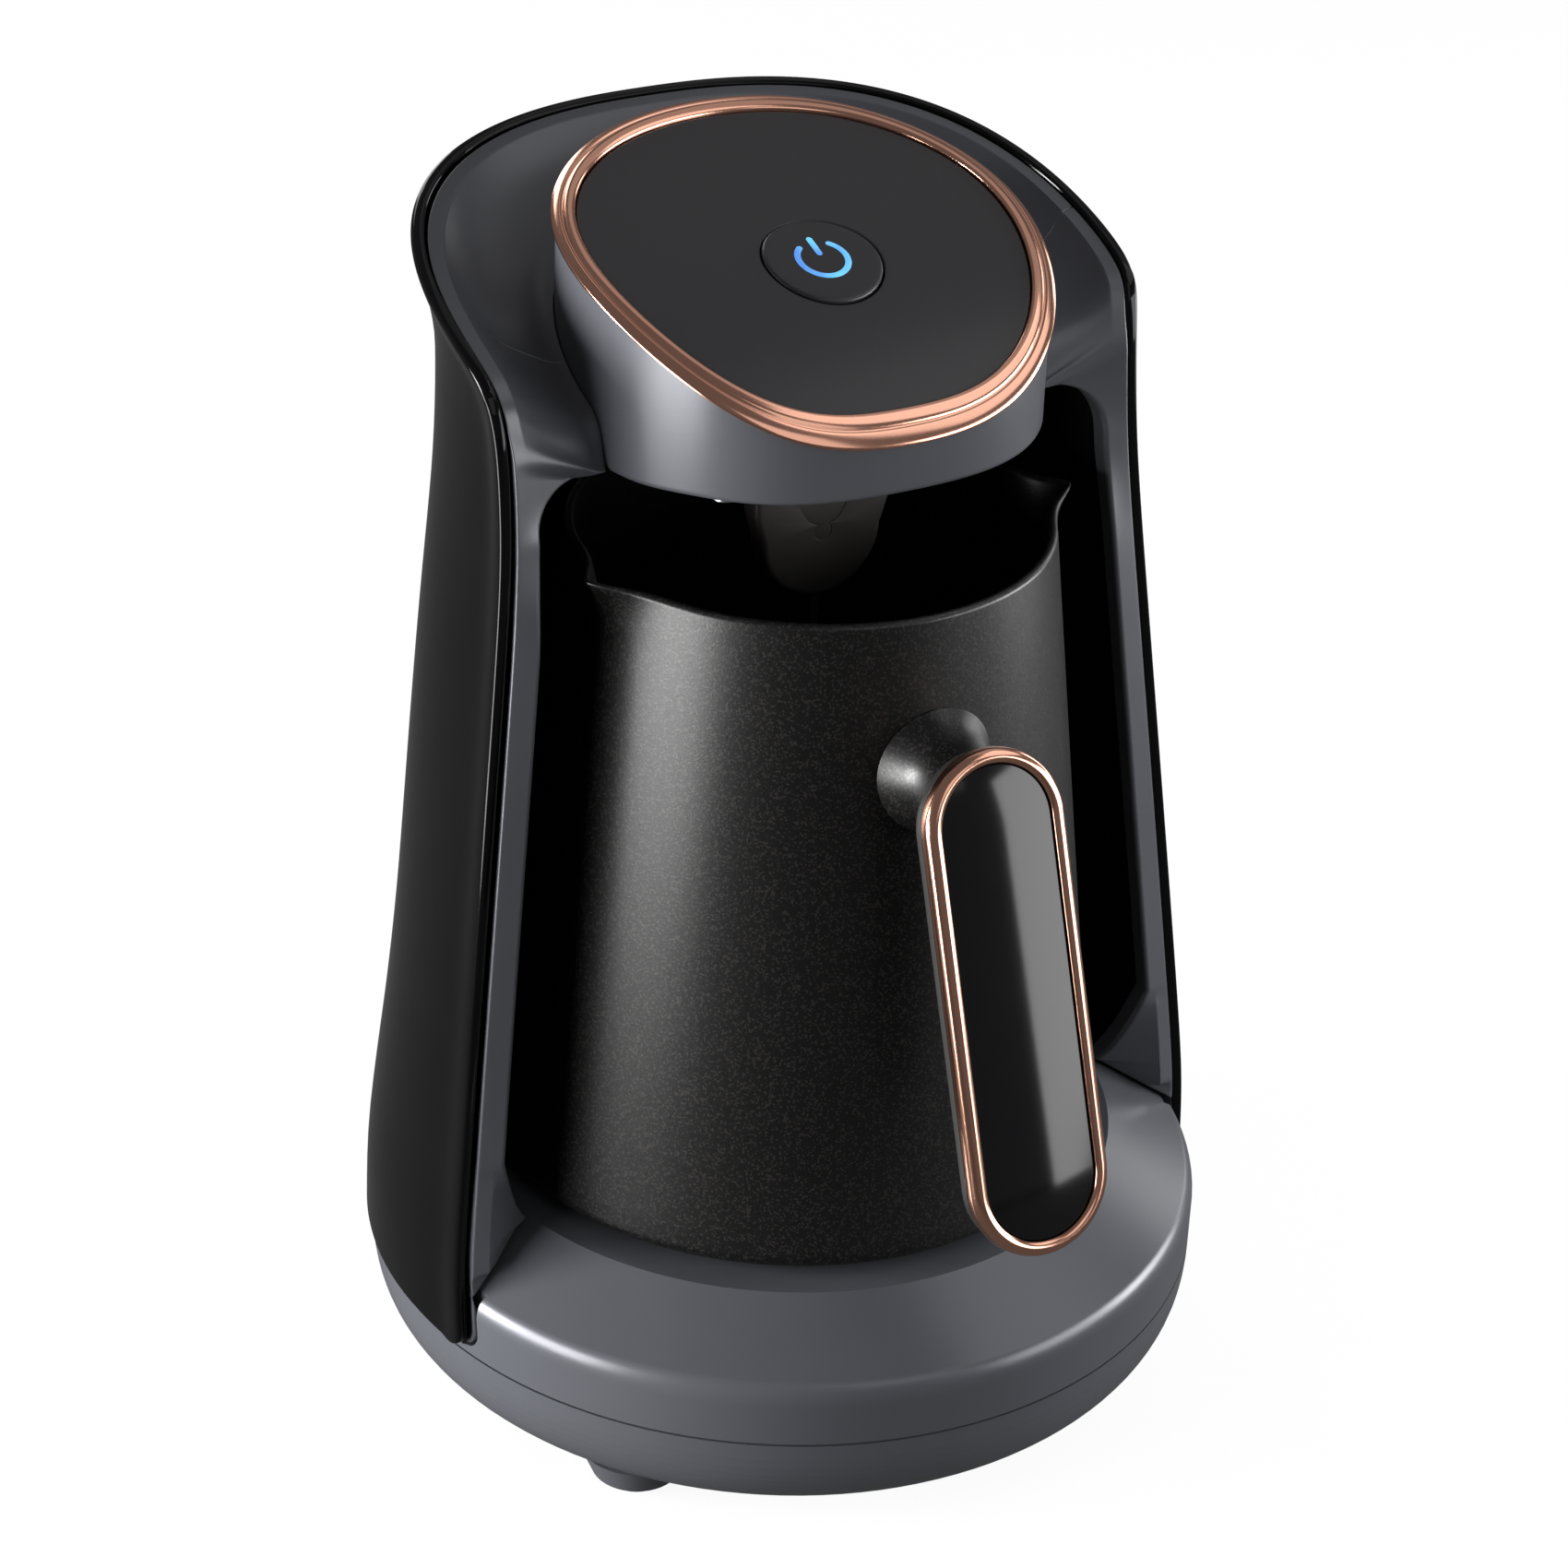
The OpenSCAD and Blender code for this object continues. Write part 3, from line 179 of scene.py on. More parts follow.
def grained(name, colour, rough, grain=0.25, depth=0.02, metallic=0.0, cloud=0.06,
            specular=0.5):
    """A moulded or painted finish on object coordinates: noise of the grain's size for a relief
    of that depth, both in millimetres, and a wide cloud of noise that changes the colour by the
    share cloud and the roughness by the share spread."""
    finish, tree, shader, place = new_finish(name)
    spread = 0.15
    fine = tree.nodes.new("ShaderNodeTexNoise")
    wide = tree.nodes.new("ShaderNodeTexNoise")
    tint = tree.nodes.new("ShaderNodeValToRGB")
    gloss = tree.nodes.new("ShaderNodeMapRange")
    relief = tree.nodes.new("ShaderNodeBump")
    set_sockets(shader, {"Metallic": metallic, "Specular IOR Level": specular})
    set_sockets(fine, {"Scale": 1 / (grain * MM), "Detail": 2.0})
    set_sockets(wide, {"Scale": 45.0, "Detail": 3.0})
    set_sockets(gloss, {"To Min": rough * (1 - spread), "To Max": rough * (1 + spread)})
    set_sockets(relief, {"Strength": 0.6, "Distance": depth * MM})
    for stop, side in zip(tint.color_ramp.elements, (-1, 1)):
        stop.color = (*[c * (1 + side * cloud) for c in colour], 1)
    wire(tree, (place, "Object", fine, "Vector"), (place, "Object", wide, "Vector"),
         (wide, "Fac", tint, "Fac"), (wide, "Fac", gloss, "Value"),
         (fine, "Fac", relief, "Height"), (tint, "Color", shader, "Base Color"),
         (gloss, "Result", shader, "Roughness"), (relief, "Normal", shader, "Normal"))
    return finish


def finish_nodes(names, finish):
    """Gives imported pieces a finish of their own."""
    for name in names.split():
        nodes[name].data.materials.clear()
        nodes[name].data.materials.append(finish)


slate_plastic = grained("slate_plastic", (0.104, 0.108, 0.122), 0.3, grain=0.35, depth=0.008,
                        metallic=0.2)
rubber = grained("rubber", (0.012, 0.012, 0.012), 0.7, grain=0.5, depth=0.03)
screw_steel = grained("screw_steel", (0.45, 0.45, 0.46), 0.3, metallic=1.0)
finish_nodes("base_tray base_cover", slate_plastic)
finish_nodes("rubber_feet cord_gland", rubber)
finish_nodes("base_screws", screw_steel)

# ---- Heating plate and what hides below it ----
# A die-cast plate with a dark non-stick coat stands a little proud of the cover, and the sensor's
# capsule shows in its middle. The heater, the clamp, the fuse and the power board are inside.
plate_coat = grained("plate_coat", (0.02, 0.02, 0.021), 0.5, grain=0.6, depth=0.03)
bright_steel = grained("bright_steel", (0.6, 0.6, 0.6), 0.25, metallic=1.0)
ceramic = grained("ceramic", (0.62, 0.58, 0.5), 0.6)
lacquer = grained("board_lacquer", (0.012, 0.09, 0.035), 0.35, cloud=0.15)
relay_blue = grained("relay_blue", (0.01, 0.05, 0.2), 0.35)
sleeve_dark = grained("capacitor_sleeve", (0.015, 0.015, 0.06), 0.3)
terminal_green = grained("terminal_green", (0.02, 0.2, 0.06), 0.4)
silicone_red = grained("silicone_red", (0.3, 0.02, 0.015), 0.5)
matt_black = grained("matt_black", (0.012, 0.0115, 0.011), 0.55, grain=0.4, depth=0.02)
finish_nodes("heating_plate", plate_coat)
finish_nodes("temperature_sensor heating_element plate_clamp plate_screws sensor_spring",
             bright_steel)
finish_nodes("board_screws head_floor_screws control_board_screws flap_pin handle_screw "
             "button_spring sensor_probe", screw_steel)
finish_nodes("thermal_fuse", ceramic)
finish_nodes("power_board control_board", lacquer)
finish_nodes("relay", relay_blue)
finish_nodes("capacitor", sleeve_dark)
finish_nodes("terminal_block", terminal_green)
finish_nodes("wiring_harness", silicone_red)
finish_nodes("buzzer tact_switch head_floor hinge_bracket", matt_black)

# ---- Mantle ----
# One glossy black moulding wraps the back and both wings from the base's seam up to the collar.
# Its wall is 2.2 mm, its long edge flares out and has small rounded corners.
seat_gap = 0.2                           # between pieces that seat on each other
pot_bottom_r, pot_rim_r, pot_h = 53.6, 40.4, 113.0
base_top_z, seam_z = 42.8, 23.5          # the cover's level top, and the base's parting line
plate_z = base_top_z + 1.2
pot_z = plate_z + seat_gap
rim_z = pot_z + pot_h
head_gap = 17.6
ceil_z = rim_z + head_gap                # underside of the head
collar_z = ceil_z + 18.2                 # the collar's rim over the axis
collar_slope, collar_blend = 0.285, 10   # its fall, and how softly it turns into the wings
wing_end_z = ceil_z + 4
mantle_wall, edge_flare, wing_w, niche_gap = 2.2, 1.3, 6.8, 13.5
column_depth, edge_lean = 68.0, 0.0926
tip_r, edge_round = 3.6, 0.7
pot_taper = (pot_bottom_r - pot_rim_r) / pot_h
wall_taper = pot_taper * 1.11
waist_z, flare_z = ceil_z - 10, ceil_z + 10
mantle_low_z = seam_z + 1 + 2 * seat_gap


def lerp(a, b, t):
    """A share t of the way from a to b."""
    return a + (b - a) * t


def ease(t):
    """A soft step from 0 to 1: three times the square of t less twice its cube."""
    u = np.clip(t, 0, 1)
    return u * u * (3 - 2 * u)


def ramp(x, soft):
    """0 well below x = 0 and x well above it: half the sum of x and the root of the squares of x
    and soft."""
    return (x + np.sqrt(x * x + soft * soft)) / 2


def signed_power(v, power):
    """v's size raised to a power, with the sign of v."""
    return np.sign(v) * np.abs(v) ** power


def pot_r(z):
    """Outer radius of the pot's cone: the rim's, plus the taper times the depth below the rim."""
    return pot_rim_r + pot_taper * (rim_z - z)


waist_r = pot_r(waist_z) + niche_gap + wing_w - edge_flare - 1.2


def mantle_r(z):
    """Half the mantle's width: the waist's, plus one soft ramp down the cone to the base, less
    one that ends the cone above the seam, plus one that opens the top."""
    return (waist_r + wall_taper * ramp(waist_z - z, 12)
            - wall_taper * ramp(seam_z + 14.5 - z, 8) + 0.17 * ramp(z - flare_z, 6))


def mantle_depth(z):
    """How far the mantle reaches behind the axis: a soft step from the base's radius to the
    column's depth, less a ramp near the top."""
    return (lerp(mantle_r(seam_z), column_depth, ease((z - seam_z) / 70))
            - 0.28 * ramp(z - flare_z - 5, 12))


def edge_line(z):
    """The wings' front edge: a straight line that leans back by the lean times the height."""
    return -5.1 - edge_lean * (ceil_z + 5.2 - z)


def edge_y(z):
    """The front edge and the collar's rim: a hyperbola between two straight lines, where the
    product of the distances to both lines stays the same."""
    below, line = collar_z - z, edge_line(z)
    b = below - collar_slope * line
    return ((-b + np.sqrt(b * b + 4 * collar_slope * (line * below + collar_blend)))
            / (2 * collar_slope))


def squareness(z):
    """The power of the mantle's back half: 2 for an ellipse, plus two soft steps of height that
    make it squarer."""
    return 2 + 0.25 * ease((z - 60) / 90) + 0.2 * ease((z - flare_z) / 15)


def mantle_pt(z, t, inset=0.0):
    """A point of the mantle at the angle t round the axis, moved in by inset: a circle's arc in
    front, and behind it half an ellipse whose cosine and sine are raised to 2 / squareness."""
    behind = np.sin(t) > 0
    power = 2 / np.where(behind, squareness(z), 2.0)
    a = mantle_r(z) - inset
    b = np.where(behind, mantle_depth(z) - inset, a)
    return np.stack([a * signed_power(np.cos(t), power), b * signed_power(np.sin(t), power),
                     z + 0 * t], -1)


def edge_angle(z, y, inset=0.0):
    """The angle at which the mantle is y in front of or behind the axis: an inverse sine, of the
    power that undoes the squareness behind."""
    front = np.arcsin(np.clip(y / (mantle_r(z) - inset), -0.9, 1))
    rear = np.arcsin(np.clip(y / (mantle_depth(z) - inset), 0, 1) ** (squareness(z) / 2))
    return np.where(y < 0, front, rear)


def flared(p):
    """Pushes a point out from the axis by the edge's flare, which falls with the distance from
    the edge as a bell curve."""
    slope = edge_y(p[..., 2] + 0.5) - edge_y(p[..., 2] - 0.5)
    gap = np.abs(p[..., 1] - edge_y(p[..., 2])) / np.sqrt(1 + slope ** 2)
    out = edge_flare * np.exp(-(gap / 4.5) ** 2) / np.hypot(p[..., 0], p[..., 1])
    return p * np.stack([1 + out, 1 + out, np.ones_like(out)], -1)


def corner_drop(d, radius):
    """How far a surface falls away at distance d from its edge, for a corner rounded by a quarter
    of a circle."""
    inside = np.clip(radius - d, 0, radius)
    return radius - np.sqrt(radius ** 2 - inside ** 2)


def rim_y(z):
    """The mantle's edge: the hyperbola, and at the foot the round corner of a wing's tip."""
    return edge_y(z) + corner_drop(z - mantle_low_z, tip_r)


def grid_faces(rows, cols, wrap_rows=False, wrap_cols=False):
    """Corner numbers of a grid's four-sided faces, row times cols plus column, closed on itself
    where asked."""
    i = np.arange(rows if wrap_rows else rows - 1)[:, None]
    j = np.arange(cols if wrap_cols else cols - 1)[None, :]
    i2, j2 = (i + 1) % rows, (j + 1) % cols
    return np.stack([i * cols + j, i2 * cols + j, i2 * cols + j2, i * cols + j2],
                    -1).reshape(-1, 4)


def make_piece(name, grid, finish, body, replaced=(), wrap_rows=False, wrap_cols=False,
               crease=40):
    """A closed mesh from a grid of points in millimetres. Points that fall together are merged,
    faces are turned outwards, and edges sharper than the crease stay sharp."""
    faces = grid_faces(*grid.shape[:2], wrap_rows, wrap_cols)
    mesh = bpy.data.meshes.new(name)
    mesh.from_pydata(grid.reshape(-1, 3) * MM, [], faces.tolist())
    work = bmesh.new()
    work.from_mesh(mesh)
    bmesh.ops.remove_doubles(work, verts=work.verts, dist=2e-6)
    bmesh.ops.dissolve_degenerate(work, edges=work.edges, dist=1e-7)
    bmesh.ops.recalc_face_normals(work, faces=work.faces)
    work.to_mesh(mesh)
    work.free()
    mesh.polygons.foreach_set("use_smooth", np.ones(len(mesh.polygons), bool))
    mesh.set_sharp_from_angle(angle=math.radians(crease))
    mesh.materials.append(finish)
    piece = bpy.data.objects.new(name, mesh)
    bpy.context.scene.collection.objects.link(piece)
    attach(piece, body)
    if replaced:
        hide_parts(*replaced)
    return piece


low, high = collar_z, collar_z + 40
for _ in range(60):                      # where the collar's rim meets the back
    middle = (low + high) / 2
    low, high = (middle, high) if edge_y(middle) < mantle_depth(middle) else (low, middle)
back_z = low
wing_rows, collar_rows, band_cols, fan_cols = 120, 110, 14, 40


def heights_to_back(start, rows, power, end):
    """Heights up a wing, even steps raised to a power so that they are closer together near the
    tip, then up the collar, even steps squared so that they are closer together near the end."""
    wing = lerp(start, wing_end_z, np.linspace(0, 1, rows) ** power)[:-1]
    return np.concatenate([wing, end - (end - wing_end_z) * np.linspace(1, 0, collar_rows) ** 2])


# The mantle is unrolled round a cylinder. Rows start on its edge, run square to it for a band,
# or level near the tip, and then fan out to the foot.
unrolled_r, band = 66.0, 7.0
rim_heights = heights_to_back(mantle_low_z, wing_rows, 1.6, back_z)
rim_angles = edge_angle(rim_heights, rim_y(rim_heights))
rim_angles[-1] = math.pi / 2             # the last row lies on the plane of symmetry
rim = np.stack([unrolled_r * rim_angles, rim_heights], -1)
along = np.gradient(rim, axis=0)
along /= np.linalg.norm(along, axis=1, keepdims=True)
length = np.concatenate([[0], np.cumsum(np.linalg.norm(np.diff(rim, axis=0), axis=1))])
inward = np.stack([along[:, 1], -along[:, 0]], -1)
level = np.exp(-length / 12)[:, None]
inward = inward * (1 - level) + np.array([1.0, 0.0]) * level
steps = np.concatenate([edge_round * (1 - np.cos(np.linspace(0, math.pi / 2, 6))),
                        np.linspace(edge_round, band, band_cols)[1:]])
near = rim[:, None] + inward[:, None] * steps[None, :, None]
share = (length / length[-1])[:, None] ** 1.5
foot = np.concatenate([lerp(near[0, -1, 0], unrolled_r * math.pi / 2, share),
                       np.full((len(rim), 1), mantle_low_z)], 1)
fan = np.linspace(0, 1, fan_cols)[1:] ** 1.15
far = near[:, -1:] + (foot[:, None] - near[:, -1:]) * fan[None, :, None]
skin = np.concatenate([near, far], 1)
skin_t, skin_z = skin[..., 0] / unrolled_r, np.maximum(skin[..., 1], mantle_low_z)
depth = np.concatenate([steps, np.full(len(fan), band)])[None, :]
outer = flared(mantle_pt(skin_z, skin_t))
tiny = 1e-3
normal = np.cross(flared(mantle_pt(skin_z, skin_t + tiny)) - outer,
                  flared(mantle_pt(skin_z + tiny, skin_t)) - outer)
normal /= np.linalg.norm(normal, axis=-1, keepdims=True)
# The edge's band is drawn in, on both faces of the wall, for its rounded corners.
drop = corner_drop(depth, edge_round)[..., None]
half_skin = np.concatenate([(outer - normal * (mantle_wall - drop))[:, ::-1],
                            outer - normal * drop], 1)


def both_sides(half):
    """The rows of a half, its last row on the plane of symmetry, then its mirror image in the
    opposite order."""
    return np.concatenate([half[:-1], half[-1:] * [0, 1, 1], half[-2::-1] * [-1, 1, 1]])


piano_black = grained("piano_black", (0.003, 0.003, 0.0033), 0.06, grain=9.0, depth=0.006,
                      cloud=0.3, specular=0.22)
make_piece("mantle_skin", both_sides(half_skin), piano_black, "housing",
           ["mantle"], wrap_cols=True)

# ---- Column frame ----
# The slate moulding inside the mantle: a flat flange down each wing that widens into the dish of
# the collar round the head. Its lip stands a hair's breadth inside the mantle's edge.
frame_t, dish_t = 3.5, 2.4
shoulder_z = seam_z + 7.5
base_r = float(mantle_r(seam_z)) - 1
edge_rx, edge_rz = 2.7, 4.4              # the cover's shoulder is part of an ellipse
edge_end = math.radians(68)              # and meets the slope of its top at this angle
cover_edge_r = base_r - edge_rx * (1 - math.cos(edge_end))
cover_edge_z = shoulder_z + edge_rz * math.sin(edge_end)
cover_flat_r = pot_bottom_r + 3.4
panel_r, panel_back, ring_w = 35.2, 5.64, 4.0
band_out = ring_w - 0.8                  # the head's band stands this far out of its outline
corner_r, corner_top, corner_rise = 8.0, ceil_z - 1.4, 12
corner_z = corner_top - corner_r
corner_end = corner_z + corner_rise
corner_y = -2.6
foot_rise = 16
foot_top = base_top_z + foot_rise
foot_y = -12
strip_w = 3.0                            # the flat border beside the mantle
parting_y, groove_half, groove_deep = 16.0, 0.03, 0.2


def head_r(a):
    """The head's outline at the angle a round the axis: a circle's radius, a sine that sets it
    back, and weaker waves of two, three and four periods that give it soft corners."""
    return (panel_r + panel_back * np.sin(a) + 1.61 * np.cos(2 * a) + 0.15 * np.sin(3 * a)
            - 0.74 * np.cos(4 * a))


def niche_r(z):
    """Radius of the niche's side wall: the flared mantle's, less the wing's width."""
    return mantle_r(z) + edge_flare - wing_w


def niche_edge_y(z):
    """Where the flange ends and the niche begins: just in front of the wings' edge line, and on
    it above the waist."""
    return edge_line(z) - 1.6 + 1.6 * ease((z - waist_z + 20) / 20)


def unflared_y(z):
    """The rim's place before the flare pushes it out: less the flare, times the square of how far
    back it is."""
    return rim_y(z) - edge_flare * np.clip(rim_y(z) / 64, 0, 1) ** 2


def lip_pt(z):
    """The frame's outer edge: the mantle's edge moved in by its wall and a gap, and on the wings
    a little forward of it."""
    inset = mantle_wall + seat_gap
    p = flared(mantle_pt(z, edge_angle(z, unflared_y(z), inset), inset))
    return np.stack([p[..., 0], rim_y(z) - 0.9 * ease((ceil_z + 12 - z) / 8),
                     z - 0.5 * ease((z - ceil_z) / 10)], -1)


def wing_pt(z):
    """The inner edge of a wing's front: the point of the niche's circle at the edge's y."""
    y, r = niche_edge_y(z), niche_r(z)
    return np.stack([np.sqrt(r ** 2 - y ** 2), y, z], -1)


def inner_pt(z):
    """The frame's inner edge in five stretches: down the cover's slope, narrowing from the level
    top to the wing, up the wing, a quarter turn round the niche's upper corner, and the head's
    outline along its foot."""
    lip = lip_pt(z)
    k = np.clip((z - cover_edge_z) / (base_top_z - cover_edge_z), 0, 1)
    down_r = lerp(np.hypot(lip[:, 0], lip[:, 1]) - 1.2,
                  lerp(cover_edge_r, cover_flat_r, k) + 1.4, ease((z - shoulder_z) / 4))
    down_y = lerp(lip[:, 1] - 0.3, foot_y, k ** 1.2)
    down = np.stack([np.sqrt(down_r ** 2 - down_y ** 2), down_y, z], -1)
    k = (np.clip((z - base_top_z) / foot_rise, 0, 1) ** 0.6)[:, None]
    widening = lerp(np.array([cover_flat_r * math.cos(math.radians(12)), foot_y, 0]),
                    wing_pt(np.full_like(z, foot_top)), k)
    widening[:, 2] = z
    turn = np.clip((z - corner_z) / corner_rise, 0, 1)
    turn_y = lerp(niche_edge_y(corner_z), corner_y, turn)
    corner = np.stack([np.sqrt(niche_r(corner_z) ** 2 - turn_y ** 2)
                       - corner_r * (1 - np.cos(turn * math.pi / 2)),
                       turn_y, corner_z + corner_r * np.sin(turn * math.pi / 2)], -1)
    a = np.arctan2(lip[:, 1], lip[:, 0])
    edge = head_r(a) + band_out + seat_gap
    valley = ceil_z + 2.4 + 0.45 * (edge * np.sin(a) + 8)
    low = lerp(corner_top, valley, ease((z - corner_end - 6) / 9))
    end = np.array([math.sqrt(niche_r(corner_z) ** 2 - 6) - corner_r, corner_y, corner_top])
    round_head = lerp(end, np.stack([edge * np.cos(a), edge * np.sin(a), low], -1),
                      ease((z - corner_end) / 6)[:, None])
    below = [(z < top)[:, None] for top in (base_top_z + 0.3, foot_top, corner_z, corner_end)]
    return np.select(below, [down, widening, wing_pt(z), corner], round_head)


def crease_pt(z, lip, inner):
    """Where the flat border beside the mantle ends: its width from the lip towards the inner
    edge, and on the foot towards the straight line of the wing, also where the flange widens."""
    def border_share(end):
        """The border's share of the way from the lip to an end, at most 0.8."""
        return np.minimum(0.8, strip_w / np.linalg.norm(end - lip, axis=-1))[:, None]

    straight = wing_pt(np.maximum(z, cover_edge_z))
    straight[:, 2] = z
    foot = lerp(lerp(lip, inner, 0.5), lerp(lip, straight, border_share(straight)),
                ease((straight[:, 0] - inner[:, 0]) / 1.5)[:, None])
    return np.where((z < foot_top)[:, None], foot, lerp(lip, inner, border_share(inner)))


# A fine parting line crosses the dish behind the axis, and gets rows of its own.
on_collar = rim_heights > wing_end_z
parting_z = float(np.interp(parting_y, rim_y(rim_heights[on_collar]), rim_heights[on_collar]))
top_heights = np.linspace(wing_end_z, back_z, 400)
to_back = unflared_y(top_heights) - mantle_depth(top_heights) + mantle_wall + seat_gap
frame_back_z = float(np.interp(0.0, to_back, top_heights))
frame_heights = np.concatenate([heights_to_back(mantle_low_z + 0.3, 200, 1.4, frame_back_z),
                                parting_z + np.array([-0.07, -0.02, 0.02, 0.07])])
frame_heights.sort()
lip, inner = lip_pt(frame_heights), inner_pt(frame_heights)
crease = crease_pt(frame_heights, lip, inner)
for line in (lip, inner, crease):
    line[-1, 0] = 0                      # on the plane of symmetry
raised = ease((frame_heights - ceil_z - 5) / 14)[:, None]
border = np.concatenate([0.14 * (1 - np.cos(np.linspace(0, math.pi / 2, 7))),
                         [0.3, 0.5, 0.7, 0.85, 0.93, 1.0]])
dish = np.concatenate([[0.02, 0.05], np.linspace(0.05, 0.9, 26)[1:],
                       1 - 0.1 * (1 - np.cos(np.linspace(math.pi / 2, 0, 8)))[1:]])
# On the collar the border lies nearly level, and the dish sinks in a sine that leans to the
# border and curls up at the head.
levelling = raised * 0.75 * (lip[:, 2:] - crease[:, 2:])
flat = lip[:, None] + (crease - lip)[:, None] * border[None, :, None]
flat[..., 2] += levelling * border
bowl = crease[:, None] + (inner - crease)[:, None] * dish[None, :, None]
bowl[..., 2] += (levelling * (1 - dish) ** 2
                 - raised * 2.2 * np.sin(math.pi * dish) * (1 - dish)
                 + raised * 1.3 * (np.clip(dish - 0.78, 0, 1) / 0.22) ** 2)
face = np.concatenate([flat, bowl], 1)
# across runs from 0 at the lip to 1 at the inner edge, and the border is its first seventh. The
# back face lies behind the front one on the wings and below it on the collar, and the corners
# and the groove sink from the front face towards it.
across = np.concatenate([border / 7, 1 / 7 + dish * 6 / 7])
groove = ((np.abs(frame_heights - parting_z) < groove_half)[:, None]
          * (across > 0) * (across < 0.99))
behind = np.stack([
    face[..., 0], lerp(inner[:, None, 1], face[..., 1], raised) + lerp(frame_t, 0.5, raised),
    face[..., 2] - lerp(0, dish_t, raised)], -1)
behind[..., :2] *= (1 - 0.9 * (1 - across) / np.hypot(face[..., 0], behind[..., 1]))[..., None]
from_lip = across * 7 * np.linalg.norm(crease - lip, axis=-1)[:, None]
from_niche = (1 - across) * 7 / 6 * np.linalg.norm(inner - crease, axis=-1)[:, None]
fall = (corner_drop(from_lip, 0.4) + corner_drop(from_niche, 0.9) * (1 - raised)
        + groove_deep * groove)
inwards = behind - face
inwards /= np.linalg.norm(inwards, axis=-1, keepdims=True)
half_frame = np.concatenate([face + inwards * fall[..., None], behind[:, ::-1]], 1)
frame_grid = both_sides(half_frame)
# A row in the middle of each wing's foot closes it.
ends = [np.repeat(frame_grid[k].mean(0)[None, None], frame_grid.shape[1], 1) for k in (0, -1)]
make_piece("frame_moulding", np.concatenate([ends[0], frame_grid, ends[1]]), slate_plastic,
           "housing", ["column_frame"], wrap_cols=True)

# ---- Niche liner ----
# A satin black moulded shell runs round the back of the pot, from the cover up to the head's
# floor. Its front edges stand close behind the frame's.
liner_low_z = base_top_z + seat_gap + 0.1
liner_wall, back_gap, niche_power = 1.6, 5, 0.95


def niche_row(z, y, grow, count=140):
    """The niche's wall at each height z, grown by grow, from y on the right round the back to y
    on the left: an ellipse whose cosine and sine are raised to niche_power."""
    a, b = niche_r(z) + grow, pot_r(z) + back_gap + grow
    start = np.sign(y) * np.arcsin((np.abs(y) / np.where(y < 0, a, b)) ** (1 / niche_power))
    t = start[:, None] + (math.pi - 2 * start[:, None]) * np.linspace(0, 1, count)
    reach = np.where(np.sin(t) < 0, a[:, None], b[:, None])
    return np.stack([a[:, None] * signed_power(np.cos(t), niche_power),
                     reach * signed_power(np.sin(t), niche_power), z[:, None] + 0 * t], -1)


liner_z = np.linspace(liner_low_z, ceil_z - seat_gap, 70)
liner_front = inner_pt(liner_z)[:, 1] + frame_t + 0.9
liner_out, liner_in = [niche_row(liner_z, liner_front, grow) for grow in (liner_wall, 0.0)]
# The lowest row rests on the cover: level inside its flat top and down its slope outside.
for row in (liner_out, liner_in):
    r = np.hypot(row[0, :, 0], row[0, :, 1])
    slope = (r - cover_flat_r) / (cover_edge_r - cover_flat_r)
    row[0, :, 2] = np.where(r < cover_flat_r, base_top_z,
                            lerp(base_top_z, cover_edge_z, slope)) + seat_gap + 0.1
liner_grid = np.concatenate([liner_out, liner_in[::-1]]).transpose(1, 0, 2)
satin_black = grained("satin_black", (0.006, 0.006, 0.006), 0.28, grain=0.6, depth=0.01)
make_piece("niche_wall", liner_grid, satin_black, "housing",
           ["niche_liner"], wrap_cols=True)

# ---- Head ----
# The slate band carries the trim ring, and the ring holds the black panel down. The ring is
# plated in rose gold, with a crowned top, a fine groove and a rounded outer bead.
head_h, panel_slope, band_in, ring_low = 27.3, 0.343, 1.9, -0.8
head_z = ceil_z + head_h                 # the panel's height at the button
turns = np.linspace(0, 2 * math.pi, 360, endpoint=False)


def panel_h(y):
    """Height of the panel's surface: a cubic in y that starts with the slope at the button."""
    return head_z + panel_slope * y - 0.00481 * y ** 2 + 0.0000939 * y ** 3


def head_ring(e, lift):
    """The head's outline grown by e, on the panel's surface raised by lift."""
    r = head_r(turns) + e
    y = r * np.sin(turns)
    return np.stack([r * np.cos(turns), y, panel_h(y) + lift], -1)


def head_foot(e, lift):
    """The band's lower edge, grown by e and raised by lift: low in front, and by three soft
    steps in y higher where the dish meets it."""
    ring = head_ring(e, 0)
    y = ring[:, 1]
    ring[:, 2] = (ceil_z - 0.5 - 0.9 * ease((y + 20) / 14) + 4 * ease((y + 2.5) / 3)
                  + 6 * ease((y - 25) / 8) + lift)
    return ring


turn_in = np.linspace(0, math.pi / 2, 7)[:, None]
band_round = 1.1
band_rows = ([head_foot(band_in, 0.0)]
             + [head_foot(band_out - band_round * (1 - math.sin(t)),
                          band_round * (1 - math.cos(t))) for t in turn_in[:, 0]]
             + [head_ring(band_out, ring_low - seat_gap), head_ring(band_in, ring_low - seat_gap)])
make_piece("head_band", np.array(band_rows), slate_plastic, "housing",
           ["head_shell"], wrap_rows=True, wrap_cols=True)


def rounded(corners, radius, steps=6):
    """A closed outline with each corner replaced by a short curve, a quadratic one that starts
    and ends at the corner's radius from it."""
    corners = np.array(corners, float)
    radius = np.broadcast_to(radius, len(corners))[:, None]
    before = np.roll(corners, 1, 0) - corners
    after = np.roll(corners, -1, 0) - corners
    reach = [np.minimum(radius / np.linalg.norm(v, axis=1, keepdims=True), 0.48) * v
             for v in (before, after)]
    t = np.linspace(0, 1, steps)[None, :, None]
    curve = corners[:, None] + (1 - t) ** 2 * reach[0][:, None] + t ** 2 * reach[1][:, None]
    return curve.reshape(-1, 2)


